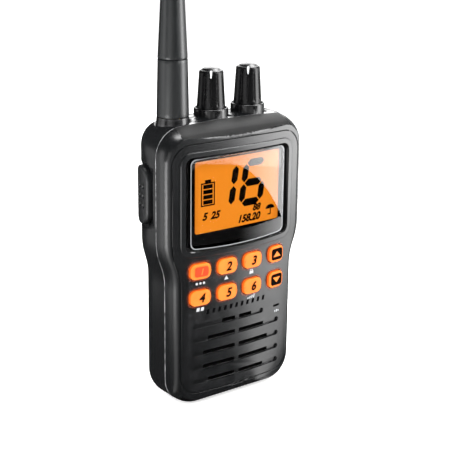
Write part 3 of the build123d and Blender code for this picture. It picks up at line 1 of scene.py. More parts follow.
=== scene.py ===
"""Looks of a handheld marine radio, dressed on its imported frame.

Each sub-assembly is a class that builds its own meshes and dresses the frame's
pieces. Pieces are drawn in millimetres: X to the right, Y backwards from the
middle of the front, Z up from the base. They are turned to the frame's metres
when they are put on their body.
"""
from __future__ import annotations

import json
import logging
from dataclasses import dataclass, field
from enum import Enum
from math import atan2, cos, hypot, pi, radians, sin, sqrt, tau
from typing import Callable, Iterable, Sequence

import bmesh
import bpy
from mathutils import Matrix, Vector

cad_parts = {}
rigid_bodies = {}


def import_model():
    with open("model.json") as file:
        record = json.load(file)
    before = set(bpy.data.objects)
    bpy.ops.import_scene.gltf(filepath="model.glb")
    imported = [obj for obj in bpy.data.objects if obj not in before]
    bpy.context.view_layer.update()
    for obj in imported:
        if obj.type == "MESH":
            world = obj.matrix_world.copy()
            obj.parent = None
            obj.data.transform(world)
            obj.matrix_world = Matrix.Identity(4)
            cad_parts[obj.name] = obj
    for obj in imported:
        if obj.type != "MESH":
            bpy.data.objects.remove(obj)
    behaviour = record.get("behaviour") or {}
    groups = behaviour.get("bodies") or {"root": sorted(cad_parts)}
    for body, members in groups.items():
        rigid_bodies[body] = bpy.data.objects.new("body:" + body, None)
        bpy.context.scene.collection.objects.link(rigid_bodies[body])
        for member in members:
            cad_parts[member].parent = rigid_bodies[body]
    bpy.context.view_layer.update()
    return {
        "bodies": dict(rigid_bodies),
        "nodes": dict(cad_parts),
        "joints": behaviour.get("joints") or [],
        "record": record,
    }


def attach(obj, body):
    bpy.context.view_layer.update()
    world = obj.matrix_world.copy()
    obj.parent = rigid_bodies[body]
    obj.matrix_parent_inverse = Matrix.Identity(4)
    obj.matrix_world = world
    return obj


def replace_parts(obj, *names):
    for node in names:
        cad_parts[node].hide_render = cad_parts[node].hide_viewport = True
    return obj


LOG = logging.getLogger("radio")
MM = 0.001              # a millimetre in metres
MERGE = 0.0004          # corners nearer than this are joined, in millimetres
WELD = 1e-7             # the same for a node's loose triangles, in metres
FRONT_RADIUS = 207.0    # of the gently rounded front
FRONT_MATCH = 0.9992    # cosine under which a face isn't part of that front
STAND_Y = 14.0          # the frame's origin lies this far behind the front
PARTING_Y = 8.2         # depth of the line where the two shells of the case meet

Colour = tuple[float, float, float]
Point = tuple[float, float]
Place = tuple[float, float, float]
Mesh = bmesh.types.BMesh
Node = bpy.types.Node
Socket = bpy.types.NodeSocket
Thing = bpy.types.Object


class Body(str, Enum):
    """Rigid bodies of the frame that pieces ride on."""

    CASE = "case"
    VOLUME = "volume"
    SQUELCH = "squelch"
    ANTENNA = "antenna"
    TALK = "talk"
    BATTERY = "battery"
    PACK_SCREW = "pack_screw"
    PACK_RING = "pack_ring"
    BELT_CLIP = "belt_clip"
    KEY_1 = "key_1"
    KEY_2 = "key_2"
    KEY_3 = "key_3"
    KEY_UP = "key_up"
    KEY_4 = "key_4"
    KEY_5 = "key_5"
    KEY_6 = "key_6"
    KEY_DOWN = "key_down"


def srgb(red: int, green: int, blue: int) -> Colour:
    """Turn display values from 0 to 255 into linear colour.

    Args:
        red: Red as shown on a display.
        green: Green as shown on a display.
        blue: Blue as shown on a display.

    Returns:
        The same colour in linear light.
    """
    shares = (value / 255 for value in (red, green, blue))
    return tuple(share / 12.92 if share <= 0.04045 else ((share + 0.055) / 1.055) ** 2.4
                 for share in shares)


# ------------------------------------------------------------------- shaders
class Nodes:
    """A node tree that is filled in a few words."""

    def __init__(self, tree: bpy.types.NodeTree) -> None:
        """Keep the tree and empty it."""
        self.tree = tree
        tree.nodes.clear()

    def fill(self, node: Node, inputs: dict[str | int, object]) -> None:
        """Give the inputs of a node what they need.

        Args:
            node: The node.
            inputs: Name or number of each input, with a socket to join it to,
                a number, or the parts of a colour or vector.
        """
        for key, value in inputs.items():
            self._feed(node.inputs[key], value)

    def _feed(self, socket: Socket, value: object) -> None:
        """Give one input its value.

        Args:
            socket: The input.
            value: A socket, a number, or the parts of a colour or vector.
        """
        if isinstance(value, Socket):
            self.tree.links.new(value, socket)
        elif isinstance(value, (tuple, Vector)):
            socket.default_value = (*value, 1.0)[:len(socket.default_value)]
        else:
            socket.default_value = float(value)

    def add(self, kind: str, inputs: dict[str | int, object] | None = None,
            **settings: object) -> Node:
        """Add a shader node.

        Args:
            kind: Type of the node, such as "Mix".
            inputs: What its inputs get, as in fill.
            settings: Properties set on the node.

        Returns:
            The new node.
        """
        node = self.tree.nodes.new(f"ShaderNode{kind}")
        for key, value in settings.items():
            setattr(node, key, value)
        self.fill(node, inputs or {})
        return node

    def maths(self, operation: str, first: object, second: object = 0.0) -> Socket:
        """Add a calculation with two sockets or numbers."""
        return self.add("Math", {0: first, 1: second}, operation=operation).outputs[0]

    def times(self, first: object, second: object) -> Socket:
        """Multiply two sockets or numbers."""
        return self.maths("MULTIPLY", first, second)

    def plus(self, first: object, second: object) -> Socket:
        """Add two sockets or numbers."""
        return self.maths("ADD", first, second)

    def less(self, first: object, second: object) -> Socket:
        """Take the second socket or number from the first."""
        return self.maths("SUBTRACT", first, second)

    def ramp(self, value: object, low: object, high: object) -> Socket:
        """Turn a value into a smooth share, 0 at low and 1 at high."""
        return self.add("MapRange", {"Value": value, "From Min": low, "From Max": high},
                        interpolation_type="SMOOTHSTEP").outputs["Result"]

    def mix(self, share: object, first: object, second: object) -> Socket:
        """Mix two colours.

        Args:
            share: Socket or number, 0 for the first colour.
            first: Socket or colour.
            second: Socket or colour.

        Returns:
            The output socket.
        """
        node = self.add("Mix", data_type="RGBA")
        open_inputs = {socket.name: socket for socket in node.inputs if socket.enabled}
        for title, value in (("Factor", share), ("A", first), ("B", second)):
            self._feed(open_inputs[title], value)
        return next(socket for socket in node.outputs if socket.enabled)

    def place(self) -> Socket:
        """Return the place on the piece."""
        return self.add("TexCoord").outputs["Object"]

    def axes(self) -> bpy.types.bpy_prop_collection:
        """Return the X, Y and Z of the place on the piece."""
        return self.add("SeparateXYZ", {0: self.place()}).outputs

    def bend(self) -> Socket:
        """Return how sharply the surface bends, over 0.5 on an outer edge."""
        return self.add("NewGeometry").outputs["Pointiness"]

    def noise(self, scale: object, detail: float = 2.0, roughness: float = 0.5,
              place: Socket | None = None) -> Socket:
        """Spread clouds over the piece.

        Args:
            scale: Clouds in each metre.
            detail: Steps of finer clouds in them.
            roughness: Strength of each finer step.
            place: Place on the piece, or None for the plain one.

        Returns:
            The output socket, from 0 to 1.
        """
        return self.add("TexNoise", {
            "Vector": place or self.place(), "Scale": scale, "Detail": detail,
            "Roughness": roughness}).outputs["Fac"]

    def bump(self, shader: Node, height: Socket, strength: float, distance: float) -> None:
        """Let a height tilt a shader's surface."""
        bump = self.add("Bump", {"Strength": strength, "Distance": distance, "Height": height})
        self.fill(shader, {"Normal": bump.outputs["Normal"]})

    def group(self, name: str, inputs: dict[str, object]) -> bpy.types.bpy_prop_collection:
        """Place a shared effect and return its outputs."""
        return self.add("Group", inputs, node_tree=bpy.data.node_groups[name]).outputs

    def rays(self, *kinds: str) -> Socket:
        """Find the rays of some kinds.

        Args:
            kinds: The kinds, such as "Camera".

        Returns:
            The output socket, 1 for such a ray.
        """
        path = self.add("LightPath")
        share: object = 0.0
        for kind in kinds:
            share = self.maths("MAXIMUM", share, path.outputs[f"Is {kind} Ray"])
        return share

    def shine(self, level: Socket) -> None:
        """Make the surface give plain light, and nothing else."""
        self.add("OutputMaterial", {0: self.add("Emission", {"Strength": level}).outputs[0]})


def new_material(name: str) -> tuple[bpy.types.Material, Nodes]:
    """Make a material and empty it.

    Args:
        name: Name of the material.

    Returns:
        The material and its nodes.
    """
    material = bpy.data.materials.new(name)
    material.use_nodes = True
    return material, Nodes(material.node_tree)


class Groups:
    """Shader effects that several finishes share, each built once."""

    GRAIN = "moulded_grain"
    WEAR = "edge_wear"
    DUST = "fine_dust"

    def __init__(self) -> None:
        """Build every group."""
        self._grain()
        self._wear()
        self._dust()

    @staticmethod
    def _new(name: str, takes: dict[str, object],
             gives: Sequence[str]) -> tuple[Nodes, object, Node]:
        """Make an empty group.

        Args:
            name: Name of the group.
            takes: Its inputs and their values at the start, a tuple for a colour.
            gives: Names of its outputs.

        Returns:
            The group's nodes, what comes in, and the node that sends it out.
        """
        tree = bpy.data.node_groups.new(name, "ShaderNodeTree")
        for title, value in takes.items():
            kind = "NodeSocketColor" if isinstance(value, tuple) else "NodeSocketFloat"
            socket = tree.interface.new_socket(title, in_out="INPUT", socket_type=kind)
            socket.default_value = value
        for title in gives:
            kind = "NodeSocketColor" if title == "Colour" else "NodeSocketFloat"
            tree.interface.new_socket(title, in_out="OUTPUT", socket_type=kind)
        nodes = Nodes(tree)
        return (nodes, tree.nodes.new("NodeGroupInput").outputs,
                tree.nodes.new("NodeGroupOutput"))

    def _grain(self) -> None:
        """Fine spark-eroded grain of moulded plastic: a height and a roughness."""
        nodes, given, end = self._new(
            self.GRAIN, {"Scale": 4000.0, "Roughness": 0.45, "Spread": 0.1},
            ("Height", "Roughness"))
        patchy = nodes.times(nodes.less(nodes.noise(90.0, 3.0), 0.5), given["Spread"])
        nodes.fill(end, {"Height": nodes.noise(given["Scale"], 2.0, 0.6),
                         "Roughness": nodes.plus(given["Roughness"], patchy)})

    def _wear(self) -> None:
        """Rubbed edges: a mask that is 1 where an outer edge is worn."""
        nodes, given, end = self._new(
            self.WEAR, {"Low": 0.52, "High": 0.6, "Amount": 0.3}, ("Mask",))
        edge = nodes.ramp(nodes.bend(), given["Low"], given["High"])
        broken = nodes.times(edge, nodes.ramp(nodes.noise(160.0, 3.0), 0.35, 0.65))
        nodes.fill(end, {"Mask": nodes.times(broken, given["Amount"])})

    def _dust(self) -> None:
        """Faint cloudy haze that lightens a dark finish here and there."""
        nodes, given, end = self._new(self.DUST, {
            "Colour": (0.02, 0.02, 0.02, 1.0), "Haze": (0.2, 0.2, 0.2, 1.0), "Amount": 0.05},
            ("Colour",))
        share = nodes.times(nodes.ramp(nodes.noise(45.0, 5.0), 0.3, 0.75), given["Amount"])
        nodes.fill(end, {"Colour": nodes.mix(share, given["Colour"], given["Haze"])})


# ------------------------------------------------------------ kinds of finish
@dataclass(frozen=True)
class Finish:
    """A surface finish. Its material is built once and shared."""

    name: str
    slot: str
    colour: Colour
    roughness: float = 0.45

    def material(self) -> bpy.types.Material:
        """Return the finish's material, built at its first use.

        Returns:
            The material.
        """
        found = bpy.data.materials.get(self.name)
        if found is None:
            found, nodes = new_material(self.name)
            shader = nodes.add("BsdfPrincipled",
                               {"Base Color": self.colour, "Roughness": self.roughness})
            nodes.add("OutputMaterial", {0: shader.outputs[0]})
            self.paint(nodes, shader)
            found.diffuse_color = (*self.colour, 1.0)
        return found

    def paint(self, nodes: Nodes, shader: Node) -> None:
        """Add what makes this finish more than one flat colour.

        Args:
            nodes: Nodes of the material.
            shader: Its shader.
        """


@dataclass(frozen=True)
class Moulded(Finish):
    """Moulded plastic or rubber with grain, haze and faintly rubbed edges."""

    grain_scale: float = 4200.0
    grain_depth: float = 0.00002
    spread: float = 0.12
    haze: float = 0.05
    wear: float = 0.25
    worn: Colour = (0.12, 0.12, 0.125)
    specular: float = 0.5

    def paint(self, nodes: Nodes, shader: Node) -> None:
        """Add grain, haze and edge wear.

        Args:
            nodes: Nodes of the material.
            shader: Its shader.
        """
        grain = nodes.group(Groups.GRAIN, {
            "Scale": self.grain_scale, "Roughness": self.roughness, "Spread": self.spread})
        dust = nodes.group(Groups.DUST, {
            "Colour": self.colour, "Haze": self.worn, "Amount": self.haze})
        wear = nodes.group(Groups.WEAR, {"Amount": self.wear})
        nodes.bump(shader, grain["Height"], 0.6, self.grain_depth)
        nodes.fill(shader, {"Base Color": nodes.mix(wear["Mask"], dust["Colour"], self.worn),
                            "Roughness": grain["Roughness"], "Specular IOR Level": self.specular})


@dataclass(frozen=True)
class CaseShell(Moulded):
    """Case plastic with a painted highlight line where the two shells meet."""

    seam_y: float = (PARTING_Y - STAND_Y) * MM
    seam_half: float = 0.00011
    # Colour of the painted highlight along the seam
    seam_highlight: Colour = (0.5, 0.5, 0.51)

    def paint(self, nodes: Nodes, shader: Node) -> None:
        """Add the painted highlight line over the moulded finish.

        Args:
            nodes: Nodes of the material.
            shader: Its shader.
        """
        super().paint(nodes, shader)
        # Painted highlight: a thin, broken light line along the seam of the two shells
        away = nodes.maths("ABSOLUTE", nodes.less(nodes.axes()["Y"], self.seam_y))
        line = nodes.ramp(away, self.seam_half * 1.3, self.seam_half * 0.7)
        share = nodes.times(line, nodes.ramp(nodes.noise(420.0, 3.0), 0.25, 0.7))
        below = shader.inputs["Base Color"].links[0].from_socket
        nodes.fill(shader, {"Base Color": nodes.mix(share, below, self.seam_highlight)})


@dataclass(frozen=True)
class Metal(Finish):
    """Bare metal with drawn lines or a turned face."""

    lines: float = 1500.0
    depth: float = 0.000004

    def paint(self, nodes: Nodes, shader: Node) -> None:
        """Add fine scratches that also vary the roughness.

        Args:
            nodes: Nodes of the material.
            shader: Its shader.
        """
        stretch = nodes.add("Mapping", {"Vector": nodes.place(),
                                        "Scale": (self.lines, self.lines, 60.0)})
        scratches = nodes.noise(1.0, 4.0, place=stretch.outputs[0])
        nodes.bump(shader, scratches, 0.5, self.depth)
        change = nodes.times(nodes.less(scratches, 0.5), 0.2)
        stain = tuple(0.75 * part for part in self.colour)
        nodes.fill(shader, {
            "Metallic": 1.0, "Roughness": nodes.plus(change, self.roughness),
            "Base Color": nodes.mix(nodes.ramp(scratches, 0.3, 0.8), self.colour, stain)})


@dataclass(frozen=True)
class Glass(Finish):
    """Clear polished plastic with faint smears."""

    index: float = 1.49

    def paint(self, nodes: Nodes, shader: Node) -> None:
        """Let the light through.

        Args:
            nodes: Nodes of the material.
            shader: Its shader.
        """
        smears = nodes.times(nodes.ramp(nodes.noise(70.0, 4.0), 0.55, 0.85), 0.03)
        nodes.fill(shader, {"Transmission Weight": 1.0, "IOR": self.index,
                            "Roughness": nodes.plus(smears, self.roughness)})


@dataclass(frozen=True)
class Ink(Finish):
    """Printed or filled marking, slightly uneven."""

    uneven: float = 0.12
    specular: float = 0.0

    def paint(self, nodes: Nodes, shader: Node) -> None:
        """Vary the ink's thickness a little.

        Args:
            nodes: Nodes of the material.
            shader: Its shader.
        """
        cloud = nodes.noise(900.0)
        thin = tuple(part * (1 - self.uneven) + 0.02 * self.uneven for part in self.colour)
        nodes.fill(shader, {"Base Color": nodes.mix(cloud, self.colour, thin),
                            "Roughness": nodes.plus(nodes.times(cloud, 0.15), self.roughness),
                            "Specular IOR Level": self.specular})


@dataclass(frozen=True)
class Backlight(Finish):
    """Display glass lit from behind, with a painted shadow of the frame along three of its edges.
    """

    strength: float = 1.0
    frame_shadow: Colour = (0.42, 0.085, 0.006)
    depth: float = 0.35
    unlit: Colour = (0.06, 0.022, 0.005)
    # Edges where the frame's shadow is painted: axis, start and end of each fade, in metres
    edges: tuple[tuple[str, float, float], ...] = (
        ("X", 0.0160, 0.0204), ("Z", 0.0925, 0.0984), ("X", -0.0175, -0.0204))

    def paint(self, nodes: Nodes, shader: Node) -> None:
        """Paint the frame's shadow over the lit display, along its top and both sides.

        Args:
            nodes: Nodes of the material.
            shader: Its shader.
        """
        axes = nodes.axes()
        # Painted shadow of the frame: how far each point lies into the darkened edges
        frame_shadow_share: object = 0.0
        for axis, start, end in self.edges:
            frame_shadow_share = nodes.maths("MAXIMUM", frame_shadow_share, nodes.ramp(axes[axis], start, end))
        nodes.fill(shader, {
            "Emission Color": nodes.mix(nodes.times(frame_shadow_share, self.depth), self.colour, self.frame_shadow),
            "Base Color": self.unlit, "Emission Strength": self.strength,
            "Specular IOR Level": 0.0})


@dataclass(frozen=True)
class LitSilicone(Finish):
    """Translucent silicone, lit from behind, with cloudy depth and painted shade in its creases.
    """

    deep_tone_and_shade: Colour = (0.6, 0.1, 0.01)
    strength: float = 0.6

    def paint(self, nodes: Nodes, shader: Node) -> None:
        """Mix a deeper colour in clouds, and as painted shade in the concave creases.

        Args:
            nodes: Nodes of the material.
            shader: Its shader.
        """
        clouds = nodes.times(nodes.ramp(nodes.noise(260.0), 0.35, 0.8), 0.3)
        # Painted shade: a deeper, darker colour where the surface bends inwards
        crease_shade = nodes.times(nodes.ramp(nodes.bend(), 0.5, 0.42), 0.4)
        colour = nodes.mix(nodes.plus(clouds, crease_shade), self.colour, self.deep_tone_and_shade)
        nodes.bump(shader, nodes.noise(5000.0), 0.3, 0.00001)
        nodes.fill(shader, {"Base Color": colour, "Emission Color": colour,
                            "Emission Strength": self.strength, "Specular IOR Level": 0.15})


@dataclass(frozen=True)
class Glow(Finish):
    """Orange light that leaks onto the panel, fading by the mesh's own values."""

    peak: float = 0.5
    core: Colour = srgb(226, 112, 50)

    def paint(self, nodes: Nodes, shader: Node) -> None:
        """Fade the glow outwards.

        Args:
            nodes: Nodes of the material.
            shader: Its shader.
        """
        fade = nodes.add("Attribute", attribute_name="fade").outputs["Fac"]
        nodes.fill(shader, {"Alpha": nodes.times(fade, self.peak), "Emission Strength": 0.7,
                            "Emission Color": nodes.mix(fade, self.colour, self.core)})


# ------------------------------------------------------------------- finishes
# The case plastic carries the painted highlight along the seam of the shells
CASE_BLACK = CaseShell("case_charcoal", "case_plastic", srgb(15, 16, 17), 0.25, wear=0.1,
                       haze=0.01, grain_depth=0.000012, spread=0.08)
# Painted highlight: a lighter, glossier copy of the case plastic on the raised band round the
# window
BAND_HIGHLIGHT = Moulded("band_painted_highlight", "case_plastic", srgb(20, 21, 22), 0.2, wear=0.05, haze=0.02,
                    grain_depth=0.000005)
# Painted shade: a near-black copy of the case plastic for the moat, the key openings and the
# grille openings
RECESS_SHADE = Moulded("recess_painted_shade", "case_plastic", srgb(5, 5, 5), 0.6, wear=0.0, haze=0.0,
                       specular=0.2)
COLLAR_GLOSS = Moulded("collar_gloss", "case_plastic", srgb(9, 9, 10), 0.15, haze=0.01,
                       grain_depth=0.000003)
TRAY_BLACK = Moulded("tray_black", "tray_plastic", srgb(14, 14, 15), 0.5)
SHEATH = Moulded("sheath_satin", "antenna_rubber", srgb(18, 20, 21), 0.32, wear=0.06, haze=0.01,
                 grain_depth=0.00001)
TALK_BLACK = Moulded("talk_matt", "talk_rubber", srgb(18, 19, 20), 0.36, wear=0.1, haze=0.02)
KNOB_BLACK = Moulded("knob_soft_touch", "knob_plastic", srgb(4, 4, 5), 0.27, wear=0.05,
                     haze=0.0, specular=0.3)
CLIP_BLACK = Moulded("clip_nylon", "clip_plastic", srgb(14, 14, 15), 0.4, haze=0.02)
SEAL_BLACK = Moulded("seal_black", "seal_rubber", srgb(20, 20, 20), 0.7, wear=0.0)
WINDOW = Glass("window_clear", "lens", (1.0, 1.0, 1.0), 0.0)
# Painted highlight: a grey ring on the front of the window's edge, for the thin bright line there
BEAD_HIGHLIGHT = Moulded("bead_painted_highlight", "lens", srgb(142, 145, 148), 0.3, wear=0.0, haze=0.1)
BORDER_INK = Ink("border_print", "lens", srgb(7, 7, 8), 0.4)
# Painted highlight: a light grey ring behind the window's edge, for the glint on that edge
RIM_HIGHLIGHT = Ink("rim_painted_highlight", "lens", srgb(196, 199, 202), 0.3)
# The lit display, with the frame's shadow painted along its top and sides
DISPLAY_ORANGE = Backlight("display_orange", "lcd", srgb(246, 142, 34), 0.5)
SEGMENT_INK = Ink("segment_ink", "lcd", srgb(12, 9, 8), 0.5)
# Key silicone: a lighter copy for the faces and a darker copy for the side walls as painted shade
KEY_AMBER = LitSilicone("key_amber", "key_rubber", srgb(222, 116, 38), 0.45,
                        srgb(210, 88, 24), 0.34)
KEY_SHADED_SIDE = LitSilicone("key_side_painted_shade", "key_rubber", srgb(214, 88, 24), 0.45,
                       srgb(186, 58, 14), 0.35)
KEY_INK = Ink("key_ink", "key_rubber", srgb(10, 8, 7), 0.5)
KEY_GLOW = Glow("key_glow", "case_plastic", srgb(140, 52, 22), 0.6, 0.42)
PATCH_RED = LitSilicone("patch_red", "key_rubber", srgb(226, 56, 18), 0.5,
                        srgb(205, 36, 8), 0.5)
PATCH_FIGURE = LitSilicone("patch_figure", "key_rubber", srgb(236, 106, 44), 0.5,
                           srgb(232, 92, 36), 0.45)
PALE_INK = Ink("pale_ink", "case_plastic", srgb(196, 199, 202), 0.5)
PANEL_BLACK = Ink("panel_black", "case_plastic", srgb(5, 5, 6), 0.6)
POINTER_WHITE = Ink("pointer_white", "knob_plastic", srgb(242, 244, 245), 0.35, 0.05, 0.5)
STEEL = Metal("steel_plain", "steel", (0.56, 0.56, 0.58), 0.3)
ALUMINIUM = Metal("aluminium_sheet", "aluminium", (0.72, 0.72, 0.74), 0.35)
BRASS = Metal("brass_turned", "brass", (0.75, 0.58, 0.28), 0.28)
MAGNET = Metal("magnet_sintered", "magnet", (0.1, 0.1, 0.11), 0.5)
FELT = Moulded("felt_black", "felt", srgb(12, 12, 12), 0.95, 1800.0, 0.0001, wear=0.0)
CONE = Moulded("cone_paper", "cone_paper", srgb(70, 70, 70), 0.85, 1500.0, 0.00005, wear=0.0)
POT = Moulded("pot_plastic", "pot_plastic", srgb(70, 72, 76), 0.45)
BOARD = Moulded("board_lacquer", "circuit_board", srgb(28, 92, 56), 0.3, 900.0, 0.00001)
LIGHT_GUIDE = Moulded("light_guide", "light_plate", srgb(240, 240, 232), 0.2, wear=0.0)

SLOT_FINISH: dict[str, Finish] = {
    "case_plastic": CASE_BLACK, "tray_plastic": TRAY_BLACK, "lens": WINDOW, "lcd": TRAY_BLACK,
    "light_plate": LIGHT_GUIDE, "key_rubber": KEY_SHADED_SIDE, "seal_rubber": SEAL_BLACK,
    "antenna_rubber": SHEATH, "talk_rubber": TALK_BLACK, "knob_plastic": KNOB_BLACK,
    "circuit_board": BOARD, "steel": STEEL, "aluminium": ALUMINIUM, "brass": BRASS,
    "magnet": MAGNET, "felt": FELT, "cone_paper": CONE, "pot_plastic": POT,
    "clip_plastic": CLIP_BLACK}


# ---------------------------------------------------------------------- mesh
def solid(name: str, mesh: Mesh, material: bpy.types.Material) -> Thing:
    """Turn a mesh into an object of the scene.

    Args:
        name: Name of the object.
        mesh: The mesh, in metres. It is used up.
        material: Its material.

    Returns:
        The new object.
    """
    data = bpy.data.meshes.new(name)
    mesh.to_mesh(data)
    mesh.free()
    data.materials.append(material)
    thing = bpy.data.objects.new(name, data)
    bpy.context.collection.objects.link(thing)
    return thing


def piece(name: str, mesh: Mesh, finish: Finish, body: Body, sharp: float | None = 40.0,
          turn_out: bool = True) -> Thing:
    """Put a finished mesh, drawn in millimetres, on a body.

    Args:
        name: Name of the piece.
        mesh: The mesh. It is used up.
        finish: Finish of the whole piece.
        body: Body the piece rides on.
        sharp: Angle in degrees past which an edge stays sharp, or None.
        turn_out: Whether the faces are turned to point outwards.

    Returns:
        The new object.
    """
    bmesh.ops.remove_doubles(mesh, verts=mesh.verts, dist=MERGE)
    if turn_out:
        bmesh.ops.recalc_face_normals(mesh, faces=mesh.faces)
    bmesh.ops.translate(mesh, vec=(0, -STAND_Y, 0), verts=mesh.verts)
    bmesh.ops.scale(mesh, vec=(MM, MM, MM), verts=mesh.verts)
    thing = solid(name, mesh, finish.material())
    faces = thing.data.polygons
    faces.foreach_set("use_smooth", [True] * len(faces))
    if sharp is not None:
        thing.data.set_sharp_from_angle(angle=radians(sharp))
    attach(thing, body.value)
    LOG.info("%s: %d faces on %s", name, len(faces), body.value)
    return thing


def front_y(x: float, sink: float = 0.0) -> float:
    """Depth of the gently rounded front.

    Args:
        x: Place across the radio.
        sink: How far below the front, square to it.

    Returns:
        The place along Y.
    """
    radius = FRONT_RADIUS - sink
    return FRONT_RADIUS - sqrt(max(radius * radius - x * x, 0.0))


def front_normal(x: float) -> Vector:
    """Return the outward direction of the rounded front at a place across."""
    return Vector((x, -sqrt(FRONT_RADIUS ** 2 - x * x), 0.0)) / FRONT_RADIUS


def closed_line(mesh: Mesh, line: Sequence[Vector]) -> list[bmesh.types.BMEdge]:
    """Draw a closed line of new edges.

    Args:
        mesh: Mesh that gets the line.
        line: Places of its corners, in order.

    Returns:
        The line's edges.
    """
    corners = [mesh.verts.new(place) for place in line]
    return [mesh.edges.new((corners[i - 1], corners[i])) for i in range(len(corners))]


def lathe(profile: Sequence[Point], centre: Vector, steps: int) -> Mesh:
    """Turn a profile about an upright axis.

    Args:
        profile: Radius and height, one after another.
        centre: Foot of the axis.
        steps: Number of steps in the full turn.

    Returns:
        The turned mesh.
    """
    mesh = bmesh.new()
    line = [mesh.verts.new(centre + Vector((radius, 0.0, z))) for radius, z in profile]
    edges = [mesh.edges.new(pair) for pair in zip(line, line[1:])]
    bmesh.ops.spin(mesh, geom=line + edges, cent=centre, axis=(0, 0, 1), angle=tau,
                   steps=steps, use_merge=True)
    bmesh.ops.remove_doubles(mesh, verts=mesh.verts, dist=MERGE)
    return mesh


def straight(start: Point, end: Point, rows: int) -> list[Point]:
    """Divide a straight run of a profile.

    Args:
        start: First point, which is left out.
        end: Last point.
        rows: Number of steps.

    Returns:
        The points in order.
    """
    return [tuple(a + (b - a) * row / rows for a, b in zip(start, end))
            for row in range(1, rows + 1)]


def rounded_loop(half_x: float, half_z: float, corner: float, steps: int = 8) -> list[Point]:
    """Corners of a rounded rectangle about zero, as one closed line.

    Args:
        half_x: Half its width.
        half_z: Half its height.
        corner: Radius of its corners.
        steps: Steps in each corner.

    Returns:
        Points in order, anticlockwise.
    """
    line: list[Point] = []
    for turn, (side, end) in enumerate(((1, 1), (-1, 1), (-1, -1), (1, -1))):
        for step in range(steps + 1):
            angle = (turn + step / steps) * pi / 2
            line.append((side * (half_x - corner) + corner * cos(angle),
                         end * (half_z - corner) + corner * sin(angle)))
    return line


# --------------------------------------------------------------- the shells
@dataclass
class Region:
    """Part of a shell with a finish of its own."""

    finish: Finish
    holds: Callable[[Vector], bool]


@dataclass
class Shell:
    """Moulded shell that is kept from the frame, with its facets smoothed."""

    node: str
    body: Body
    finish: Finish
    sharp: float = 24.0
    regions: list[Region] = field(default_factory=list)

    def build(self) -> None:
        """Copy the node, join its facets and let it stand for the node."""
        mesh = bmesh.new()
        mesh.from_mesh(frame["nodes"][self.node].data)
        bmesh.ops.remove_doubles(mesh, verts=mesh.verts, dist=WELD)
        bmesh.ops.scale(mesh, vec=(1 / MM,) * 3, verts=mesh.verts)
        bmesh.ops.translate(mesh, vec=(0, STAND_Y, 0), verts=mesh.verts)
        for face in mesh.faces:
            middle = face.calc_center_median()
            face.material_index = next((index for index, region in enumerate(self.regions, 1)
                                        if region.holds(middle)), 0)
        shell = piece(f"{self.node}_dressed", mesh, self.finish, self.body, self.sharp,
                      turn_out=False)
        for region in self.regions:
            shell.data.materials.append(region.finish.material())
        self._even_out(shell)
        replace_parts(shell, self.node)

    @staticmethod
    def _even_out(shell: Thing) -> None:
        """Weigh the shell's normals by face, and set the rounded front's own exactly.

        Args:
            shell: The shell.
        """
        soften = shell.modifiers.new("even_shading", "WEIGHTED_NORMAL")
        soften.keep_sharp = True
        bpy.context.view_layer.update()
        solved = shell.evaluated_get(bpy.context.evaluated_depsgraph_get())
        data = bpy.data.meshes.new_from_object(solved)
        normals = [corner.vector.copy() for corner in data.corner_normals]
        for face in data.polygons:
            if face.normal.dot(front_normal(face.center.x / MM)) < FRONT_MATCH:
                continue
            for index in face.loop_indices:
                place = data.vertices[data.loops[index].vertex_index].co
                normals[index] = front_normal(place.x / MM)
        data.normals_split_custom_set(normals)
        shell.modifiers.remove(soften)
        shell.data = data


@dataclass
class Case:
    """Front and rear shell, with their glossy and dull regions: a glossy painted highlight on the
    band round the window, dull painted shade in the recesses, and glossy knob collars.
    """

    moat_half: float = 25.0
    moat_low: float = 61.8
    moat_high: float = 100.6
    moat_depth: float = 0.28
    band: float = 2.3
    band_rise: float = 0.12
    grille_z: float = 38.0
    grille_depth: float = 1.0
    collar_z: float = 112.35

    def build(self) -> None:
        """Dress both shells."""
        # Painted shade in the recesses and a painted highlight on the band round the window
        Shell("front_case", Body.CASE, CASE_BLACK, regions=[
            Region(RECESS_SHADE, self._sunk), Region(BAND_HIGHLIGHT, self._on_band)]).build()
        Shell("rear_case", Body.CASE, CASE_BLACK, regions=[
            Region(COLLAR_GLOSS, self._on_collar)]).build()

    def _sunk(self, place: Vector) -> bool:
        """Tell whether a face is in the moat, a key's opening or a grille opening, where shade is
        painted.

        Args:
            place: Middle of the face.

        Returns:
            Whether it is.
        """
        depth = place.y - front_y(place.x)
        return abs(place.x) < self.moat_half + 0.2 and depth > self.moat_depth and (
            place.z > self.grille_z or depth > self.grille_depth)

    def _on_band(self, place: Vector) -> bool:
        """Tell whether a face is on the raised band round the window, where a highlight is
        painted.

        Args:
            place: Middle of the face.

        Returns:
            Whether it is.
        """
        return (abs(place.x) < self.moat_half + self.band
                and self.moat_low - self.band < place.z < self.moat_high + self.band
                and place.y < front_y(place.x) - self.band_rise)

    def _on_collar(self, place: Vector) -> bool:
        """Tell whether a face is on the collar of a knob."""
        return place.z > self.collar_z


# ------------------------------------------------------------ flat markings
def stamp(mesh: Mesh, outline: Iterable[Point]) -> None:
    """Add one flat patch, from its corners as width and height."""
    mesh.faces.new([mesh.verts.new((x, 0.0, z)) for x, z in outline])


def dot(mesh: Mesh, x: float, z: float, radius: float) -> None:
    """Add a round patch about a place."""
    place = Matrix.Translation((x, 0, z)) @ Matrix.Rotation(pi / 2, 4, "X")
    bmesh.ops.create_circle(mesh, cap_ends=True, segments=28, radius=radius, matrix=place)


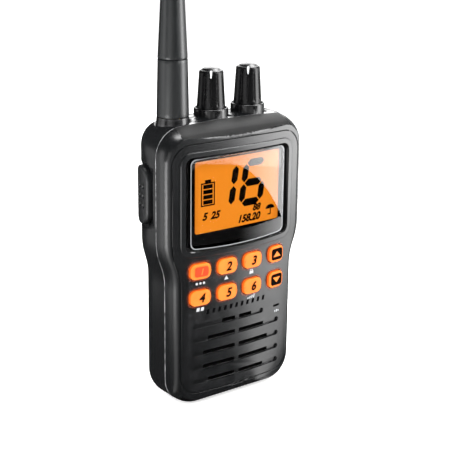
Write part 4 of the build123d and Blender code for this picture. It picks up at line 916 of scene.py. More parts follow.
def bar(mesh: Mesh, x: float, z: float, wide: float, tall: float, slant: float = 0.0) -> None:
    """Add a straight patch.

    Args:
        mesh: Mesh that gets the patch.
        x: Middle across.
        z: Middle upwards.
        wide: Its width.
        tall: Its height.
        slant: Lean to the right for each unit of height.
    """
    stamp(mesh, [(x + side * wide / 2 + slant * end * tall / 2, z + end * tall / 2)
                 for side, end in ((-1, -1), (1, -1), (1, 1), (-1, 1))])


def ring(mesh: Mesh, outer: Sequence[Point], inner: Sequence[Point]) -> None:
    """Add the flat patch between two closed lines.

    Args:
        mesh: Mesh that gets the patch.
        outer: The outer line.
        inner: The inner line.
    """
    edges = [edge for line in (outer, inner)
             for edge in closed_line(mesh, [Vector((x, 0, z)) for x, z in line])]
    bmesh.ops.bridge_loops(mesh, edges=edges)


def digits(mesh: Mesh, text: str, size: float, place: Point, lean: float = 0.25,
           bold: float = 0.022) -> None:
    """Add plain digits.

    Args:
        mesh: Flat mesh that gets the digits.
        text: The digits.
        size: Height of a line.
        place: Their middle, across and upwards.
        lean: Their lean to the right.
        bold: Growth of the strokes, as a share of the size.
    """
    curve = bpy.data.curves.new("digits", "FONT")
    curve.body = text
    curve.size = size
    curve.shear = lean
    curve.offset = size * bold
    curve.align_x = curve.align_y = "CENTER"
    curve.resolution_u = 6
    holder = bpy.data.objects.new("digits", curve)
    data = bpy.data.meshes.new_from_object(holder)
    data.transform(Matrix.Translation((place[0], 0, place[1])) @ Matrix.Rotation(pi / 2, 4, "X"))
    mesh.from_mesh(data)
    bpy.data.objects.remove(holder)
    bpy.data.curves.remove(curve)
    bpy.data.meshes.remove(data)


def decal(name: str, mesh: Mesh, finish: Finish, body: Body,
          surface: Callable[[float], float]) -> None:
    """Lay a flat mesh on a surface that faces the front.

    Args:
        name: Name of the piece.
        mesh: Flat mesh, drawn as width and height.
        finish: Its finish.
        body: Body it rides on.
        surface: Depth of the surface at a place across.
    """
    for corner in mesh.verts:
        corner.co.y = surface(corner.co.x)
    mesh.normal_update()
    bmesh.ops.reverse_faces(mesh, faces=[face for face in mesh.faces if face.normal.y > 0])
    piece(name, mesh, finish, body, sharp=None, turn_out=False)


# ---------------------------------------------------------------- the display
@dataclass
class Display:
    """Window, its printed border, and the lit display behind it."""

    half: float = 20.0
    base: float = 70.1
    top: float = 98.0
    corner: float = 1.0
    lens_half: float = 22.4
    lens_base: float = 64.6
    lens_top: float = 99.3
    lens_bow: float = 1.0
    lens_round: float = 2.2
    rim: float = 0.5
    rim_left: float = 0.12
    bead: float = 0.34
    border_y: float = 2.22
    sheet_y: float = 2.285
    ink_y: float = 2.262
    slant: float = 0.158
    stroke: float = 2.9
    gap: float = 0.3
    figure_low: float = 79.0
    figure_high: float = 94.5
    figure_wide: float = 9.0
    small_figures: tuple[tuple[str, float, Point], ...] = (
        ("5", 3.9, (-15.6, 76.3)), ("25", 3.9, (-10.8, 76.3)),
        ("88", 3.6, (8.9, 76.3)), ("158.20", 4.0, (5.2, 72.6)))

    def build(self) -> None:
        """Build the whole display."""
        Shell("display_window", Body.CASE, WINDOW, 20.0).build()
        self._border()
        sheet = bmesh.new()
        stamp(sheet, self._opening(0.05, 8))
        decal("display_light", sheet, DISPLAY_ORANGE, Body.CASE, lambda x: self.sheet_y)
        self._signs()

    def _opening(self, spare: float, steps: int) -> list[Point]:
        """Outline of the border's opening.

        Args:
            spare: How far the outline is drawn out.
            steps: Steps in each corner.

        Returns:
            Points of the closed line.
        """
        middle, half_z = (self.base + self.top) / 2, (self.top - self.base) / 2
        return [(x, z + middle) for x, z in
                rounded_loop(self.half + spare, half_z + spare, self.corner, steps)]

    def _lens_line(self, inset: float, left: float | None = None) -> list[Point]:
        """Outline of the window, drawn in, with its foot bowed downwards.

        Args:
            inset: How far it is drawn in.
            left: Another inset at the left, or None for the same.

        Returns:
            Points of the closed line.
        """
        left = inset if left is None else left
        half = self.lens_half - (left + inset) / 2
        middle_x, middle_z = (left - inset) / 2, (self.lens_top + self.lens_base) / 2
        tall = (self.lens_top - self.lens_base) / 2 - inset
        line = rounded_loop(half, tall, self.lens_round)
        turn = 3 * len(line) // 4
        foot = [((half - self.lens_round) * (step / 10 - 1), -tall) for step in range(1, 20)]
        bowed = []
        for x, z in line[:turn] + foot + line[turn:]:
            share = min(1.0, max(0.0, (-z - tall + self.lens_round) / self.lens_round))
            drop = self.lens_bow * (1 - (x / half) ** 2) * share
            bowed.append((x + middle_x, z + middle_z - drop))
        return bowed

    def _border(self) -> None:
        """Print the border behind the window with a light ring along its rim as a painted
        highlight, and lay the bead on its front as a painted highlight too.
        """
        inner = self._lens_line(self.rim, self.rim_left)
        for name, outline, hole, finish, depth in (
                ("window_border", inner, self._opening(0.0, 6), BORDER_INK, self._behind),
                ("window_rim", self._lens_line(0.05), inner, RIM_HIGHLIGHT, self._behind),
                ("window_bead", self._lens_line(0.01), self._lens_line(self.bead), BEAD_HIGHLIGHT,
                 lambda x: front_y(x, -0.012))):
            mesh = bmesh.new()
            ring(mesh, outline, hole)
            decal(name, mesh, finish, Body.CASE, depth)

    def _behind(self, x: float) -> float:
        """Depth of the window's back, the same at every place across."""
        return self.border_y

    def _stroke(self, start: Point, end: Point) -> list[Point]:
        """Outline one pointed stroke of an upright figure.

        Args:
            start: Its first end.
            end: Its other end.

        Returns:
            Corners of the stroke.
        """
        along = Vector((end[0] - start[0], end[1] - start[1])).normalized()
        tip = self.stroke / 2
        across = Vector((-along.y, along.x)) * tip
        first = Vector(start) + along * self.gap
        last = Vector(end) - along * self.gap
        corners = (first, first + along * tip + across, last - along * tip + across, last,
                   last - along * tip - across, first + along * tip - across)
        return [(corner.x, corner.y) for corner in corners]

    def _figure(self, mesh: Mesh, strokes: str, x: float) -> None:
        """Draw a figure of pointed strokes, leaning to the right.

        Args:
            mesh: Mesh that gets the figure.
            strokes: Letters of its strokes, clockwise from the top, g in the middle.
            x: Left edge of its stroke lines at the foot.
        """
        low, high, wide = self.figure_low, self.figure_high, self.figure_wide
        middle = (low + high) / 2
        ends = {"a": ((0, high), (wide, high)), "b": ((wide, high), (wide, middle)),
                "c": ((wide, middle), (wide, low)), "d": ((wide, low), (0, low)),
                "e": ((0, low), (0, middle)), "f": ((0, middle), (0, high)),
                "g": ((0, middle), (wide, middle))}
        for letter in strokes:
            stamp(mesh, [(x + a + self.slant * (z - low), z) for a, z in
                         self._stroke(*ends[letter])])

    def _charge(self, mesh: Mesh) -> None:
        """Draw the charge sign: a cell's outline, its cap and four bars.

        Args:
            mesh: Mesh that gets the sign.
        """
        left, right, low, high, line = -17.0, -11.2, 80.7, 89.3, 0.55
        middle, wide, tall = (left + right) / 2, right - left, high - low
        for x in (left, right):
            bar(mesh, x, (low + high) / 2, line, tall + line)
        for z in (low, high):
            bar(mesh, middle, z, wide, line)
        bar(mesh, middle, high + 0.8, 2.8, 1.1)
        for row in range(4):
            bar(mesh, middle, low + 1.3 + row * 2.0, wide - 1.5, 1.6)

    def _shelter(self, mesh: Mesh) -> None:
        """Draw the weather sign: a dome on a hooked stick.

        Args:
            mesh: Mesh that gets the sign.
        """
        stamp(mesh, [(16.0 + 2.3 * cos(angle), 74.6 + 1.7 * sin(angle))
                     for angle in (pi * step / 10 for step in range(11))])
        bar(mesh, 16.2, 73.6, 0.5, 2.4)
        bar(mesh, 15.6, 72.4, 1.5, 0.5)

    def _signs(self) -> None:
        """Draw the channel's figures, the charge sign and the small signs."""
        ink = bmesh.new()
        self._figure(ink, "bc", -12.4)
        self._figure(ink, "acdefg", 1.5)
        self._charge(ink)
        for text, size, place in self.small_figures:
            digits(ink, text, size, place, 0.3, 0.05)
        self._shelter(ink)
        decal("display_signs", ink, SEGMENT_INK, Body.CASE, lambda x: self.ink_y)


# ---------------------------------------------------------------- the keys
class Legend(Enum):
    """What a key carries on its face."""

    FIGURE = "figure"
    PATCH = "patch"
    UP = "up"
    DOWN = "down"


@dataclass
class Key:
    """One silicone key with its legend and the glow round it."""

    name: str
    x: float
    z: float
    long: float
    tall: float
    legend: Legend
    corner: float = 2.3
    rise: float = 1.15
    foot_y: float = 4.6
    flange_y: float = 4.0
    flange: float = 0.8
    edge: float = 0.55
    crown: float = 0.03
    crown_inset: float = 0.5
    side_limit: float = 0.45
    print_x: float = 0.2
    figure_size: float = 4.9
    figure_lift: float = 0.12
    patch_half: Point = (3.0, 2.0)
    patch_figure: float = 3.3
    arrow_half: Point = (2.9, 2.35)
    arrow: tuple[Point, ...] = ((-1.95, -1.0), (1.95, -1.0), (0.0, 1.2))
    patch_lift: float = 0.11
    sign_lift: float = 0.13
    halo: tuple[float, ...] = (0.34, 0.5, 0.75, 1.05, 1.4)

    def build(self) -> None:
        """Build the key, its legend and its glow."""
        self._cap()
        self._face()
        self._glow()

    def _loop(self, grow: float) -> list[Point]:
        """Return the key's outline, drawn out by grow."""
        return [(self.x + x, self.z + z) for x, z in
                rounded_loop(self.long / 2 + grow, self.tall / 2 + grow, self.corner + grow, 10)]

    def _surface(self, lift: float) -> Callable[[float], float]:
        """Return the depth of the key's face, raised by lift."""
        return lambda x: front_y(x, -self.rise - lift)

    def _cap(self) -> None:
        """Mould the cap: a flange, a wall, a rounded edge and a crowned face."""
        mesh = bmesh.new()
        base = mesh.faces.new([mesh.verts.new((x, self.foot_y, z))
                               for x, z in self._loop(self.flange)])
        top = self._raise(mesh, base, lambda x: self.flange_y, closed=True)
        bmesh.ops.inset_region(mesh, faces=[top], thickness=self.flange, use_even_offset=True)
        surface = self._surface(0.0)
        top = self._raise(mesh, top, surface)
        bmesh.ops.bevel(mesh, geom=list(top.edges), offset=self.edge, offset_type="OFFSET",
                        affect="EDGES", segments=6, profile=0.5, material=-1)
        top = min(mesh.faces, key=lambda item: item.calc_center_median().y)
        for step in range(3):
            bmesh.ops.inset_region(mesh, faces=[top], thickness=self.crown_inset,
                                   use_even_offset=True)
            for corner in top.verts:
                corner.co.y = surface(corner.co.x) - self.crown * (step + 1)
        cap = piece(f"{self.name}_cap", mesh, KEY_AMBER, Body(self.name))
        # Side walls get the darker copy of the silicone as painted shade, and the face keeps the
        # lighter one
        cap.data.materials.append(KEY_SHADED_SIDE.material())
        for face in cap.data.polygons:
            face.material_index = 0 if abs(face.normal.y) > self.side_limit else 1
        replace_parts(cap, self.name)

    @staticmethod
    def _raise(mesh: Mesh, face: bmesh.types.BMFace, depth: Callable[[float], float],
               closed: bool = False) -> bmesh.types.BMFace:
        """Extrude a face to a depth.

        Args:
            mesh: Mesh with the face.
            face: Face that is extruded.
            depth: Depth of the new face at a place across.
            closed: Whether the first face stays as the bottom.

        Returns:
            The extruded face.
        """
        grown = bmesh.ops.extrude_face_region(mesh, geom=[face], use_keep_orig=closed)
        top = next(item for item in grown["geom"] if isinstance(item, bmesh.types.BMFace))
        for corner in top.verts:
            corner.co.y = depth(corner.co.x)
        return top

    def _print(self, part: str, mesh: Mesh, finish: Finish, lift: float) -> None:
        """Lay a flat mesh on the key's face, raised by lift."""
        decal(f"{self.name}_{part}", mesh, finish, Body(self.name), self._surface(lift))

    def _face(self) -> None:
        """Print the legend: a figure, or a patch with a figure or an arrow on it."""
        middle, sign, mesh = self.x + self.print_x, self.name[-1], bmesh.new()
        if self.legend is Legend.FIGURE:
            digits(mesh, sign, self.figure_size, (middle, self.z - 0.2), bold=0.028)
            self._print("figure", mesh, KEY_INK, self.figure_lift)
            return
        red = self.legend is Legend.PATCH
        patch = bmesh.new()
        half_x, half_z = self.patch_half if red else self.arrow_half
        stamp(patch, [(middle + x, self.z + z) for x, z in rounded_loop(half_x, half_z, 1.0, 5)])
        self._print("patch", patch, PATCH_RED if red else KEY_INK, self.patch_lift)
        if red:
            digits(mesh, sign, self.patch_figure, (middle, self.z - 0.15))
            self._print("figure", mesh, PATCH_FIGURE, self.sign_lift)
            return
        way = 1 if self.legend is Legend.UP else -1
        stamp(mesh, [(middle + x, self.z + way * z) for x, z in self.arrow])
        self._print("arrow", mesh, KEY_AMBER, self.sign_lift)

    def _glow(self) -> None:
        """Lay the soft glow on the panel round the key's opening."""
        mesh = bmesh.new()
        fade = mesh.verts.layers.float.new("fade")
        lines = [closed_line(mesh, [Vector((x, 0, z)) for x, z in self._loop(wide)])
                 for wide in self.halo]
        for first, second in zip(lines, lines[1:]):
            bmesh.ops.bridge_loops(mesh, edges=first + second)
        near, reach = self.halo[0], self.halo[-1] - self.halo[0]
        for corner in mesh.verts:
            over_x = abs(corner.co.x - self.x) - self.long / 2 + self.corner
            over_z = abs(corner.co.z - self.z) - self.tall / 2 + self.corner
            away = hypot(max(over_x, 0.0), max(over_z, 0.0)) - self.corner
            corner[fade] = max(0.0, 1 - (away - near) / reach) ** 2
        decal(f"{self.name}_glow", mesh, KEY_GLOW, Body.CASE, lambda x: front_y(x, -0.02))


@dataclass
class Keypad:
    """Eight keys in two rows, with the printed signs on the panel."""

    pitch_x: float = 12.3
    pitch_z: float = 10.65
    middle_z: float = 50.4
    size: Point = (9.0, 6.2)
    step_size: Point = (7.6, 6.7)
    names: tuple[str, ...] = ("key_1", "key_2", "key_3", "key_up", "key_4", "key_5", "key_6",
                              "key_down")
    lean: float = 0.2
    ticks: int = 11
    tick_pitch: float = 2.72
    tick_left: float = -14.6
    tick_z: float = 38.5
    tick_size: Point = (1.15, 1.9)

    def build(self) -> None:
        """Build the keys and the panel's signs."""
        for index, name in enumerate(self.names):
            column, row = index % 4, index // 4
            legend = {"key_1": Legend.PATCH, "key_up": Legend.UP,
                      "key_down": Legend.DOWN}.get(name, Legend.FIGURE)
            long, tall = self.step_size if column == 3 else self.size
            Key(name, self._column(column), self._row(row), long, tall, legend).build()
        self._signs()
        self._ticks()

    def _column(self, column: int) -> float:
        """Return the place of a column across."""
        return (column - 1.5) * self.pitch_x

    def _row(self, row: int) -> float:
        """Return the height of a row."""
        return self.middle_z + (0.5 - row) * self.pitch_z

    def _signs(self) -> None:
        """Print the small pale signs under the keys and beside the microphone."""
        ink = bmesh.new()
        first, second, third = (self._column(column) for column in range(3))
        high, low = self._row(0), self._row(1)
        for step in (-1, 0, 1):
            dot(ink, first + 0.4 + 1.6 * step, high - 5.1, 0.5)
        stamp(ink, [(second - 1.0, high - 5.7), (second + 1.0, high - 5.7), (second, high - 4.0)])
        bar(ink, third, high - 5.2, 1.9, 1.2)
        arcs = [(0.75, pi * step / 8) for step in range(9)]
        arcs += [(0.45, pi - pi * step / 8) for step in range(9)]
        stamp(ink, [(third + radius * cos(angle), high - 4.6 + radius * sin(angle))
                    for radius, angle in arcs])
        for side in (-1, 1):
            bar(ink, first + 0.4 + side * 0.95, low - 5.0, 1.3, 1.4, self.lean)
        for step in range(4):
            bar(ink, third - 1.5 + step, low - 5.1 + 0.15 * step, 0.5, 0.7 + 0.3 * step,
                self.lean)
        for side in (-1, 0, 1):
            bar(ink, 20.2 + side * 0.9, 31.0, 0.45, 1.1 - 0.4 * abs(side))
        decal("panel_signs", ink, PALE_INK, Body.CASE, lambda x: front_y(x, -0.025))

    def _ticks(self) -> None:
        """Print the row of slanted ticks over the grille."""
        mesh = bmesh.new()
        for step in range(self.ticks):
            bar(mesh, self.tick_left + step * self.tick_pitch, self.tick_z, *self.tick_size,
                self.lean)
        decal("panel_ticks", mesh, PANEL_BLACK, Body.CASE, lambda x: front_y(x, -0.02))


# ------------------------------------------------------------- deck controls
@dataclass
class Knob:
    """Fluted control knob with a pale pointer."""

    node: str
    body: Body
    x: float
    y: float = 15.1
    foot: float = 113.4
    top: float = 130.2
    foot_radius: float = 5.6
    foot_round: float = 0.3
    top_radius: float = 4.65
    rim: float = 1.9
    rows: int = 44
    flutes: int = 12
    flute_radius: float = 0.45
    flute_low: float = 115.8
    flute_high: float = 126.8
    turned: float = -37.4
    recess_half: float = 0.75
    recess_depth: float = 0.6
    recess_low: float = 126.2
    inlay_half: float = 0.46
    steps: int = 360

    def __post_init__(self) -> None:
        """Work out the axis, the pointer's direction and the flat under it."""
        turn = radians(self.turned)
        self.centre = Vector((self.x, self.y, 0.0))
        self.facing = Vector((sin(turn), -cos(turn), 0.0))
        self.aside = Vector((cos(turn), sin(turn), 0.0))
        self.flat = self.top_radius - self.recess_depth

    def build(self) -> None:
        """Build the knob and its pointer."""
        mesh = lathe(self._profile(), self.centre, self.steps)
        for corner in mesh.verts:
            self._press_flute(corner)
            self._press_recess(corner)
        knob = piece(f"{self.node}_cap", mesh, KNOB_BLACK, self.body, 50.0)
        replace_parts(knob, self.node)
        self._pointer()

    def _side_radius(self, z: float) -> float:
        """Return the radius of the tapered side at a height."""
        share = (z - self.foot) / (self.top - self.rim - self.foot)
        return self.foot_radius + (self.top_radius - self.foot_radius) * share

    def _profile(self) -> list[Point]:
        """Draw the knob's profile: rounded foot, tapered side, shoulder and crown.

        Returns:
            Radius and height, from the middle of the foot to that of the top.
        """
        curve = self.foot_round
        profile = [(0.0, self.foot), (self.foot_radius - curve, self.foot)]
        profile += [(self.foot_radius - curve * (1 - sin(angle)),
                     self.foot + curve * (1 - cos(angle)))
                    for angle in (radians(30), radians(60), radians(90))]
        low, edge = self.foot + 0.45, self.top - self.rim - 0.25
        heights = [low + (edge - low) * row / self.rows for row in range(self.rows + 1)]
        profile += [(self._side_radius(z), z) for z in heights]
        shoulder, rise = self.top_radius - 0.75, 0.95
        profile += [(shoulder + 0.78 * cos(angle), edge + rise * sin(angle))
                    for angle in (pi / 16 * step for step in range(1, 9))]
        crown = edge + rise
        profile += [(shoulder * rest, crown + (self.top - crown) * sqrt(1 - rest ** 2) ** 1.4)
                    for rest in (1 - step / 7 for step in range(1, 8))]
        return profile

    def _press_flute(self, corner: bmesh.types.BMVert) -> None:
        """Move a corner into the flute that it lies in, if it lies in one.

        Args:
            corner: The corner.
        """
        out = corner.co - self.centre
        level, out.z = out.z, 0.0
        if out.length < self._side_radius(level) - 0.4:
            return
        pitch = tau / self.flutes
        angle = atan2(out.dot(self.aside), out.dot(self.facing))
        offset = (angle + pitch / 2) % pitch - pitch / 2
        low, high = self.flute_low + self.flute_radius, self.flute_high - self.flute_radius
        far = hypot(offset * out.length, max(low - level, level - high, 0.0))
        if far < self.flute_radius:
            corner.co -= out.normalized() * sqrt(self.flute_radius ** 2 - far ** 2) * 0.9

    def _press_recess(self, corner: bmesh.types.BMVert) -> None:
        """Move a corner onto the flat under the pointer, if it lies over it.

        Args:
            corner: The corner.
        """
        out = corner.co - self.centre
        height = out.dot(self.facing) - self.flat
        dip = max(0.0, self.recess_low - out.z)
        half = self.recess_half - dip ** 2 * 0.9
        if height > 0 and dip < 0.9 and abs(out.dot(self.aside)) < half:
            corner.co -= self.facing * height

    def _pointer(self) -> None:
        """Inlay the pale drop-shaped pointer."""
        head, foot, half = self.top - 1.35, self.recess_low + 0.1, self.inlay_half
        drop = [(half * cos(angle), head + half * 0.9 * sin(angle))
                for angle in (pi * step / 10 for step in range(11))]
        drop += [(-0.2, foot + 0.1), (0.0, foot), (0.2, foot + 0.1)]
        mesh = bmesh.new()
        start = self.centre + self.facing * (self.flat - 0.1)
        face = mesh.faces.new([mesh.verts.new(start + self.aside * u + Vector((0, 0, z)))
                               for u, z in drop])
        grown = bmesh.ops.extrude_face_region(mesh, geom=[face])
        raised = [item for item in grown["geom"] if isinstance(item, bmesh.types.BMVert)]
        bmesh.ops.translate(mesh, vec=self.facing * 0.35, verts=raised)
        piece(f"{self.node}_pointer", mesh, POINTER_WHITE, self.body)


@dataclass
class Antenna:
    """Stub antenna: a thick root, a fine seam and a long tapering sheath."""

    x: float = -20.7
    y: float = 15.1
    foot: float = 113.4
    seam: float = 134.9
    bend: float = 168.0
    tip: float = 236.0
    foot_radius: float = 6.1
    seam_radius: float = 5.6
    bend_radius: float = 3.9
    tip_radius: float = 3.3
    chamfer: float = 0.3
    seam_half: float = 0.02
    bore: float = 4.65
    core: float = 1.5
    steps: int = 144

    def build(self) -> None:
        """Build both sheaths."""
        for name, profile, node in (("antenna_root_sheath", self._root(), "antenna_base"),
                                    ("antenna_long_sheath", self._whip(), "antenna_whip")):
            mesh = lathe(profile, Vector((self.x, self.y, 0.0)), self.steps)
            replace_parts(piece(name, mesh, SHEATH, Body.ANTENNA), node)

    def _seam_edge(self, way: int) -> list[Point]:
        """Draw the rounded edge on one side of the seam.

        Args:
            way: 1 over the seam and -1 under it.

        Returns:
            Radius and height, from the core outwards.
        """
        return [(radius, self.seam + way * height) for radius, height in (
            (self.core, self.seam_half), (self.seam_radius - self.chamfer, self.seam_half),
            (self.seam_radius - 0.1, 0.12), (self.seam_radius, self.chamfer))]

    def _root(self) -> list[Point]:
        """Draw the root sheath's profile.

        Returns:
            Radius and height, from the bore to the core.
        """
        low = self.foot + 0.3
        profile = [(self.bore, self.foot), (self.foot_radius - 0.25, self.foot),
                   (self.foot_radius - 0.06, self.foot + 0.08), (self.foot_radius, low)]
        profile += straight(profile[-1], (self.seam_radius, self.seam - self.chamfer), 16)
        return profile + self._seam_edge(-1)[2::-1]

    def _whip(self) -> list[Point]:
        """Draw the long sheath's profile.

        Returns:
            Radius and height, from the core to the tip.
        """
        rest = 0.3
        curve = self.tip_radius - rest
        profile = self._seam_edge(1)
        profile += straight(profile[-1], (self.bend_radius, self.bend), 40)
        profile += straight(profile[-1], (self.tip_radius, self.tip - curve), 40)
        profile += [(rest * (1 - sin(angle)) + self.tip_radius * cos(angle),
                     self.tip - curve * (1 - sin(angle)))
                    for angle in (pi / 20 * step for step in range(1, 10))]
        return profile + [(0.0, self.tip)]


# ----------------------------------------------------------------- the studio
def only_gloss(thing: Thing) -> None:
    """Show a card only in reflections.

    Args:
        thing: The card.
    """
    thing.visible_camera = False
    thing.visible_diffuse = False
    thing.visible_shadow = False
    thing.visible_volume_scatter = False


@dataclass
class Lamp:
    """One soft area lamp, aimed at the radio."""

    name: str
    place: Place
    size: Point
    power: float
    aim: Place = (0.0, 0.0, 0.08)

    def build(self) -> None:
        """Hang the lamp."""
        light = bpy.data.lights.new(self.name, "AREA")
        light.shape = "RECTANGLE"
        light.size, light.size_y = self.size
        light.energy = self.power
        lamp = bpy.data.objects.new(self.name, light)
        lamp.location = self.place
        ahead = Vector(self.aim) - Vector(self.place)
        lamp.rotation_euler = ahead.to_track_quat("-Z", "Y").to_euler()
        bpy.context.collection.objects.link(lamp)
        lamp.visible_glossy = False


@dataclass(frozen=True)
class Panel:
    """Soft-edged bright panel of the tent, from middle - half to middle + half.

    Middle is a direction seen from a point of the radio, 0 in front and 90 at the
    right, and low and high are heights over the floor, all in degrees. Start, full
    and far are distances from the radio's foot, in metres: the panel fades in from
    start to full and fades out past far. Zero leaves such a fade out.
    """

    middle: float
    half: float
    soft: float
    strength: float
    low: float = -60.0
    high: float = 24.0
    start: float = 0.0
    full: float = 0.0
    far: float = 0.0


@dataclass
class Tent:
    """Dark tent with bright panels, seen only in the gloss of the radio."""

    radius: float = 0.8
    floor_z: float = 0.0004
    dark: float = 0.05
    edge: float = 8.0
    fade: float = 1.2
    left_from: Point = (-0.030, -0.006)
    right_from: Point = (0.012, -0.014)
    panels: tuple[Panel, ...] = (
        Panel(49, 9, 9, 3.8),
        Panel(49, 9, 9, 2.6, start=0.12, full=0.18),
        Panel(30, 6, 12, 0.4),
        Panel(58, 5, 6, 7.5, start=0.28, full=0.35, far=0.5),
        Panel(60, 16, 14, 2.3, start=0.5, full=0.6),
        Panel(50, 5, 8, 6.0, 16, 28),
        Panel(112, 12, 14, 0.6),
        Panel(37, 7, 8, 14.0, 34, 46),
        Panel(108, 14, 14, 22.0, 54, 73),
        Panel(15, 5, 6, 5.0, 15, 24),
        Panel(142, 10, 12, 6.0, 24, 44),
        Panel(1, 180, 1, 14.0, 84, 100),
        Panel(-76, 7, 9, 10.0, start=0.05, full=0.3, far=0.5),
        Panel(-106, 8, 9, 2.1, start=0.05, full=0.25),
        Panel(-134, 10, 14, 0.85, high=10, start=0.08, full=0.24),
        Panel(-57, 11, 8, 1.2),
        Panel(-34, 8, 8, 0.5),
        Panel(-6, 9, 8, 1.9, start=0.2, full=0.28, far=0.5))

    def build(self) -> None:
        """Put up the tent, its floor included."""
        mesh = bmesh.new()
        bmesh.ops.create_uvsphere(mesh, u_segments=96, v_segments=64, radius=self.radius)
        for corner in mesh.verts:
            corner.co.z = max(corner.co.z, self.floor_z)
        only_gloss(solid("tent", mesh, self._light()))

    def _light(self) -> bpy.types.Material:
        """Paint the panels of the tent.

        Returns:
            The tent's light.
        """
        material, nodes = new_material("tent_light")
        x, y, z = nodes.axes()
        turns = [nodes.maths("ARCTAN2", nodes.less(x, from_x), nodes.less(from_y, y))
                 for from_x, from_y in (self.left_from, self.right_from)]
        out = nodes.maths("SQRT", nodes.plus(nodes.times(x, x), nodes.times(y, y)))
        rise = nodes.maths("ARCTAN2", z, out)
        level: object = self.dark
        for panel in self.panels:
            turn = nodes.less(turns[panel.middle > 0], radians(panel.middle))
            turn = nodes.add("Math", {0: turn, 1: pi, 2: -pi}, operation="WRAP").outputs[0]
            fades = [(nodes.maths("ABSOLUTE", turn), radians(panel.half + panel.soft),
                      radians(panel.half)),
                     (rise, radians(panel.low - self.edge), radians(panel.low)),
                     (rise, radians(panel.high + self.edge), radians(panel.high))]
            if panel.full:
                fades.append((out, panel.start, panel.full))
            if panel.far:
                fades.append((out, self.fade * panel.far, panel.far))
            share: object = panel.strength
            for fade in fades:
                share = nodes.times(share, nodes.ramp(*fade))
            level = nodes.plus(level, share)
        nodes.shine(level)
        return material


@dataclass
class WindowCard:
    """Bright card that the window mirrors, with a dark disc and a graded foot.

    Corners and disc are drawn in millimetres, across and upwards. The other
    lengths are in metres.
    """

    far: float = 0.12
    ahead: Place = (0.607, -0.795, 0.0)
    aside: Place = (0.795, 0.607, 0.0)
    corners: tuple[Point, ...] = ((-52.0, 14.0), (58.0, 22.0), (58.0, 80.0), (-52.0, 80.0))
    disc: Point = (-17.3, -19.3)
    disc_radius: float = 0.0855
    disc_edge: float = 0.0004
    level: float = 0.9
    gain: float = 8.0
    gain_across: Point = (-0.035, 0.046)
    foot_slope: float = 0.118
    foot_line: Point = (0.0331, 0.0325)
    foot_gain: float = 7.0
    foot_across: Point = (-0.010, 0.055)

    def build(self) -> None:
        """Stand the card in front of the window."""
        card = bmesh.new()
        stamp(card, self.corners)
        for corner in card.verts:
            corner.co = self._place(corner.co.x, corner.co.z)
        bmesh.ops.triangulate(card, faces=card.faces)
        only_gloss(solid("window_card", card, self._light()))

    def _place(self, across: float, height: float) -> Vector:
        """Find a point of the card in the frame.

        Args:
            across: Its place across the card.
            height: Its height.

        Returns:
            The place in metres.
        """
        place = (Vector(self.aside) * across + Vector((0, -STAND_Y, height))) * MM
        return place + Vector(self.ahead) * self.far

    def _light(self) -> bpy.types.Material:
        """Paint the card, brighter to the right, with its disc and its foot.

        Returns:
            The card's light.
        """
        material, nodes = new_material("window_card_light")
        away, across = (
            nodes.add("VectorMath", {0: nodes.place(), 1: other}, operation=way).outputs["Value"]
            for way, other in (("DISTANCE", self._place(*self.disc)), ("DOT_PRODUCT", self.aside)))
        beyond = nodes.ramp(away, self.disc_radius - self.disc_edge,
                            self.disc_radius + self.disc_edge)
        gain = nodes.times(nodes.ramp(across, *self.gain_across), self.gain)
        level = nodes.times(beyond, nodes.plus(gain, self.level))
        slope = nodes.less(nodes.axes()["Z"], nodes.times(across, self.foot_slope))
        under = nodes.ramp(slope, *self.foot_line)
        foot = nodes.times(nodes.ramp(across, *self.foot_across), self.foot_gain)
        nodes.shine(nodes.plus(nodes.times(level, nodes.less(1.0, under)),
                               nodes.times(foot, under)))
        return material


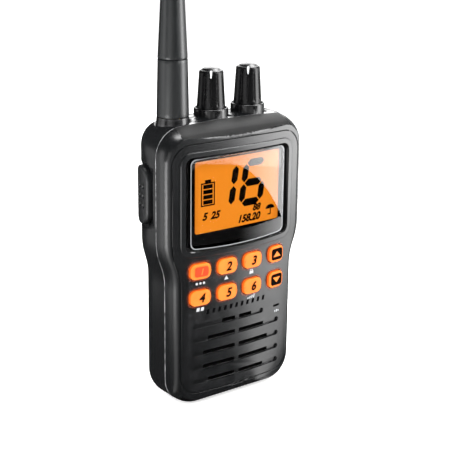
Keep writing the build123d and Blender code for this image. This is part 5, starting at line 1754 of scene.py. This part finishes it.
@dataclass
class Studio:
    """Camera, lamps, floor and surroundings."""

    camera_place: Place = (-267.531, -340.548, 203.296)
    camera_ahead: Place = (0.580797, 0.759676, -0.292518)
    camera_up: Place = (0.168761, 0.239167, 0.956200)
    lens: float = 94.404
    world_level: float = 0.45
    floor_half: float = 6.0
    floor_z: float = -0.0002
    floor_lift: float = 0.55
    lamps: tuple[Lamp, ...] = (
        Lamp("softbox_right", (0.62, -0.28, 0.30), (0.45, 0.7), 9.0),
        Lamp("softbox_left", (-0.75, -0.30, 0.35), (0.3, 0.7), 6.0),
        Lamp("softbox_above", (0.05, -0.1, 0.95), (0.6, 0.5), 9.0),
        Lamp("softbox_behind", (-0.3, 0.7, 0.35), (0.5, 0.6), 5.0))

    def build(self) -> None:
        """Set up the whole studio."""
        self._camera()
        for lamp in self.lamps:
            lamp.build()
        self._floor()
        self._world()
        WindowCard().build()
        Tent().build()
        bpy.context.scene.view_settings.view_transform = "Standard"

    def _camera(self) -> None:
        """Place the camera at the view's angle."""
        data = bpy.data.cameras.new("view")
        data.lens = self.lens
        data.sensor_width = 36.0
        data.clip_start, data.clip_end = 0.01, 50.0
        camera = bpy.data.objects.new("view", data)
        ahead, up = Vector(self.camera_ahead), Vector(self.camera_up)
        turn = Matrix((ahead.cross(up), up, -ahead)).transposed()
        place = (Vector(self.camera_place) - Vector((0, STAND_Y, 0))) * MM
        camera.matrix_world = Matrix.Translation(place) @ turn.to_4x4()
        bpy.context.collection.objects.link(camera)
        bpy.context.scene.camera = camera

    def _floor(self) -> None:
        """Lay the pale floor."""
        mesh = bmesh.new()
        bmesh.ops.create_grid(mesh, x_segments=2, y_segments=2, size=self.floor_half)
        material, nodes = new_material("pale_floor")
        seen = nodes.times(nodes.rays("Camera", "Transmission"), self.floor_lift)
        shader = nodes.add("BsdfPrincipled", {
            "Base Color": (0.93, 0.93, 0.93), "Roughness": 0.9, "Specular IOR Level": 0.1,
            "Emission Color": (1.0, 1.0, 1.0), "Emission Strength": seen})
        nodes.add("OutputMaterial", {0: shader.outputs[0]})
        floor = solid("floor", mesh, material)
        floor.location.z = self.floor_z

    def _world(self) -> None:
        """Surround the scene with plain light that the camera sees as white."""
        world = bpy.data.worlds.new("surroundings")
        world.use_nodes = True
        bpy.context.scene.world = world
        nodes = Nodes(world.node_tree)
        plain, white = (nodes.add("Background", {"Color": (1.0, 1.0, 1.0), "Strength": strength})
                        for strength in (self.world_level, 1.0))
        choose = nodes.add("MixShader", {0: nodes.rays("Camera", "Transmission", "Glossy"),
                                         1: plain.outputs[0], 2: white.outputs[0]})
        nodes.add("OutputWorld", {0: choose.outputs[0]})


# -------------------------------------------------------------- the whole radio
def dress_plain_nodes(frame: dict) -> None:
    """Give every node that keeps its own shape the finish of its slot.

    Args:
        frame: The loaded frame.
    """
    for row in frame["record"]["subparts"]:
        material = SLOT_FINISH[row["material_slot"]].material()
        for slot in frame["nodes"][row["node"]].material_slots:
            slot.material = material
        LOG.info("%s keeps its shape in %s", row["node"], material.name)


frame: dict = {}


def main() -> None:
    """Load the frame, dress it and set up the studio."""
    logging.basicConfig(level=logging.INFO, format="%(name)s: %(message)s")
    frame.update(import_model())
    Groups()
    dress_plain_nodes(frame)
    Case().build()
    for node, body, finish in (
            ("antenna_collar", Body.CASE, COLLAR_GLOSS),
            ("battery_cover", Body.BATTERY, CASE_BLACK),
            ("battery_tray", Body.BATTERY, TRAY_BLACK),
            ("ptt_button", Body.TALK, TALK_BLACK),
            ("belt_clip", Body.BELT_CLIP, CLIP_BLACK),
            ("clip_mount", Body.BATTERY, STEEL),
            ("pack_screw", Body.PACK_SCREW, STEEL),
            ("pack_ring", Body.PACK_RING, STEEL)):
        Shell(node, body, finish).build()
    Display().build()
    Keypad().build()
    Knob("volume_knob", Body.VOLUME, -3.0).build()
    Knob("squelch_knob", Body.SQUELCH, 14.7).build()
    Antenna().build()
    Studio().build()


if __name__ == "__main__":
    main()
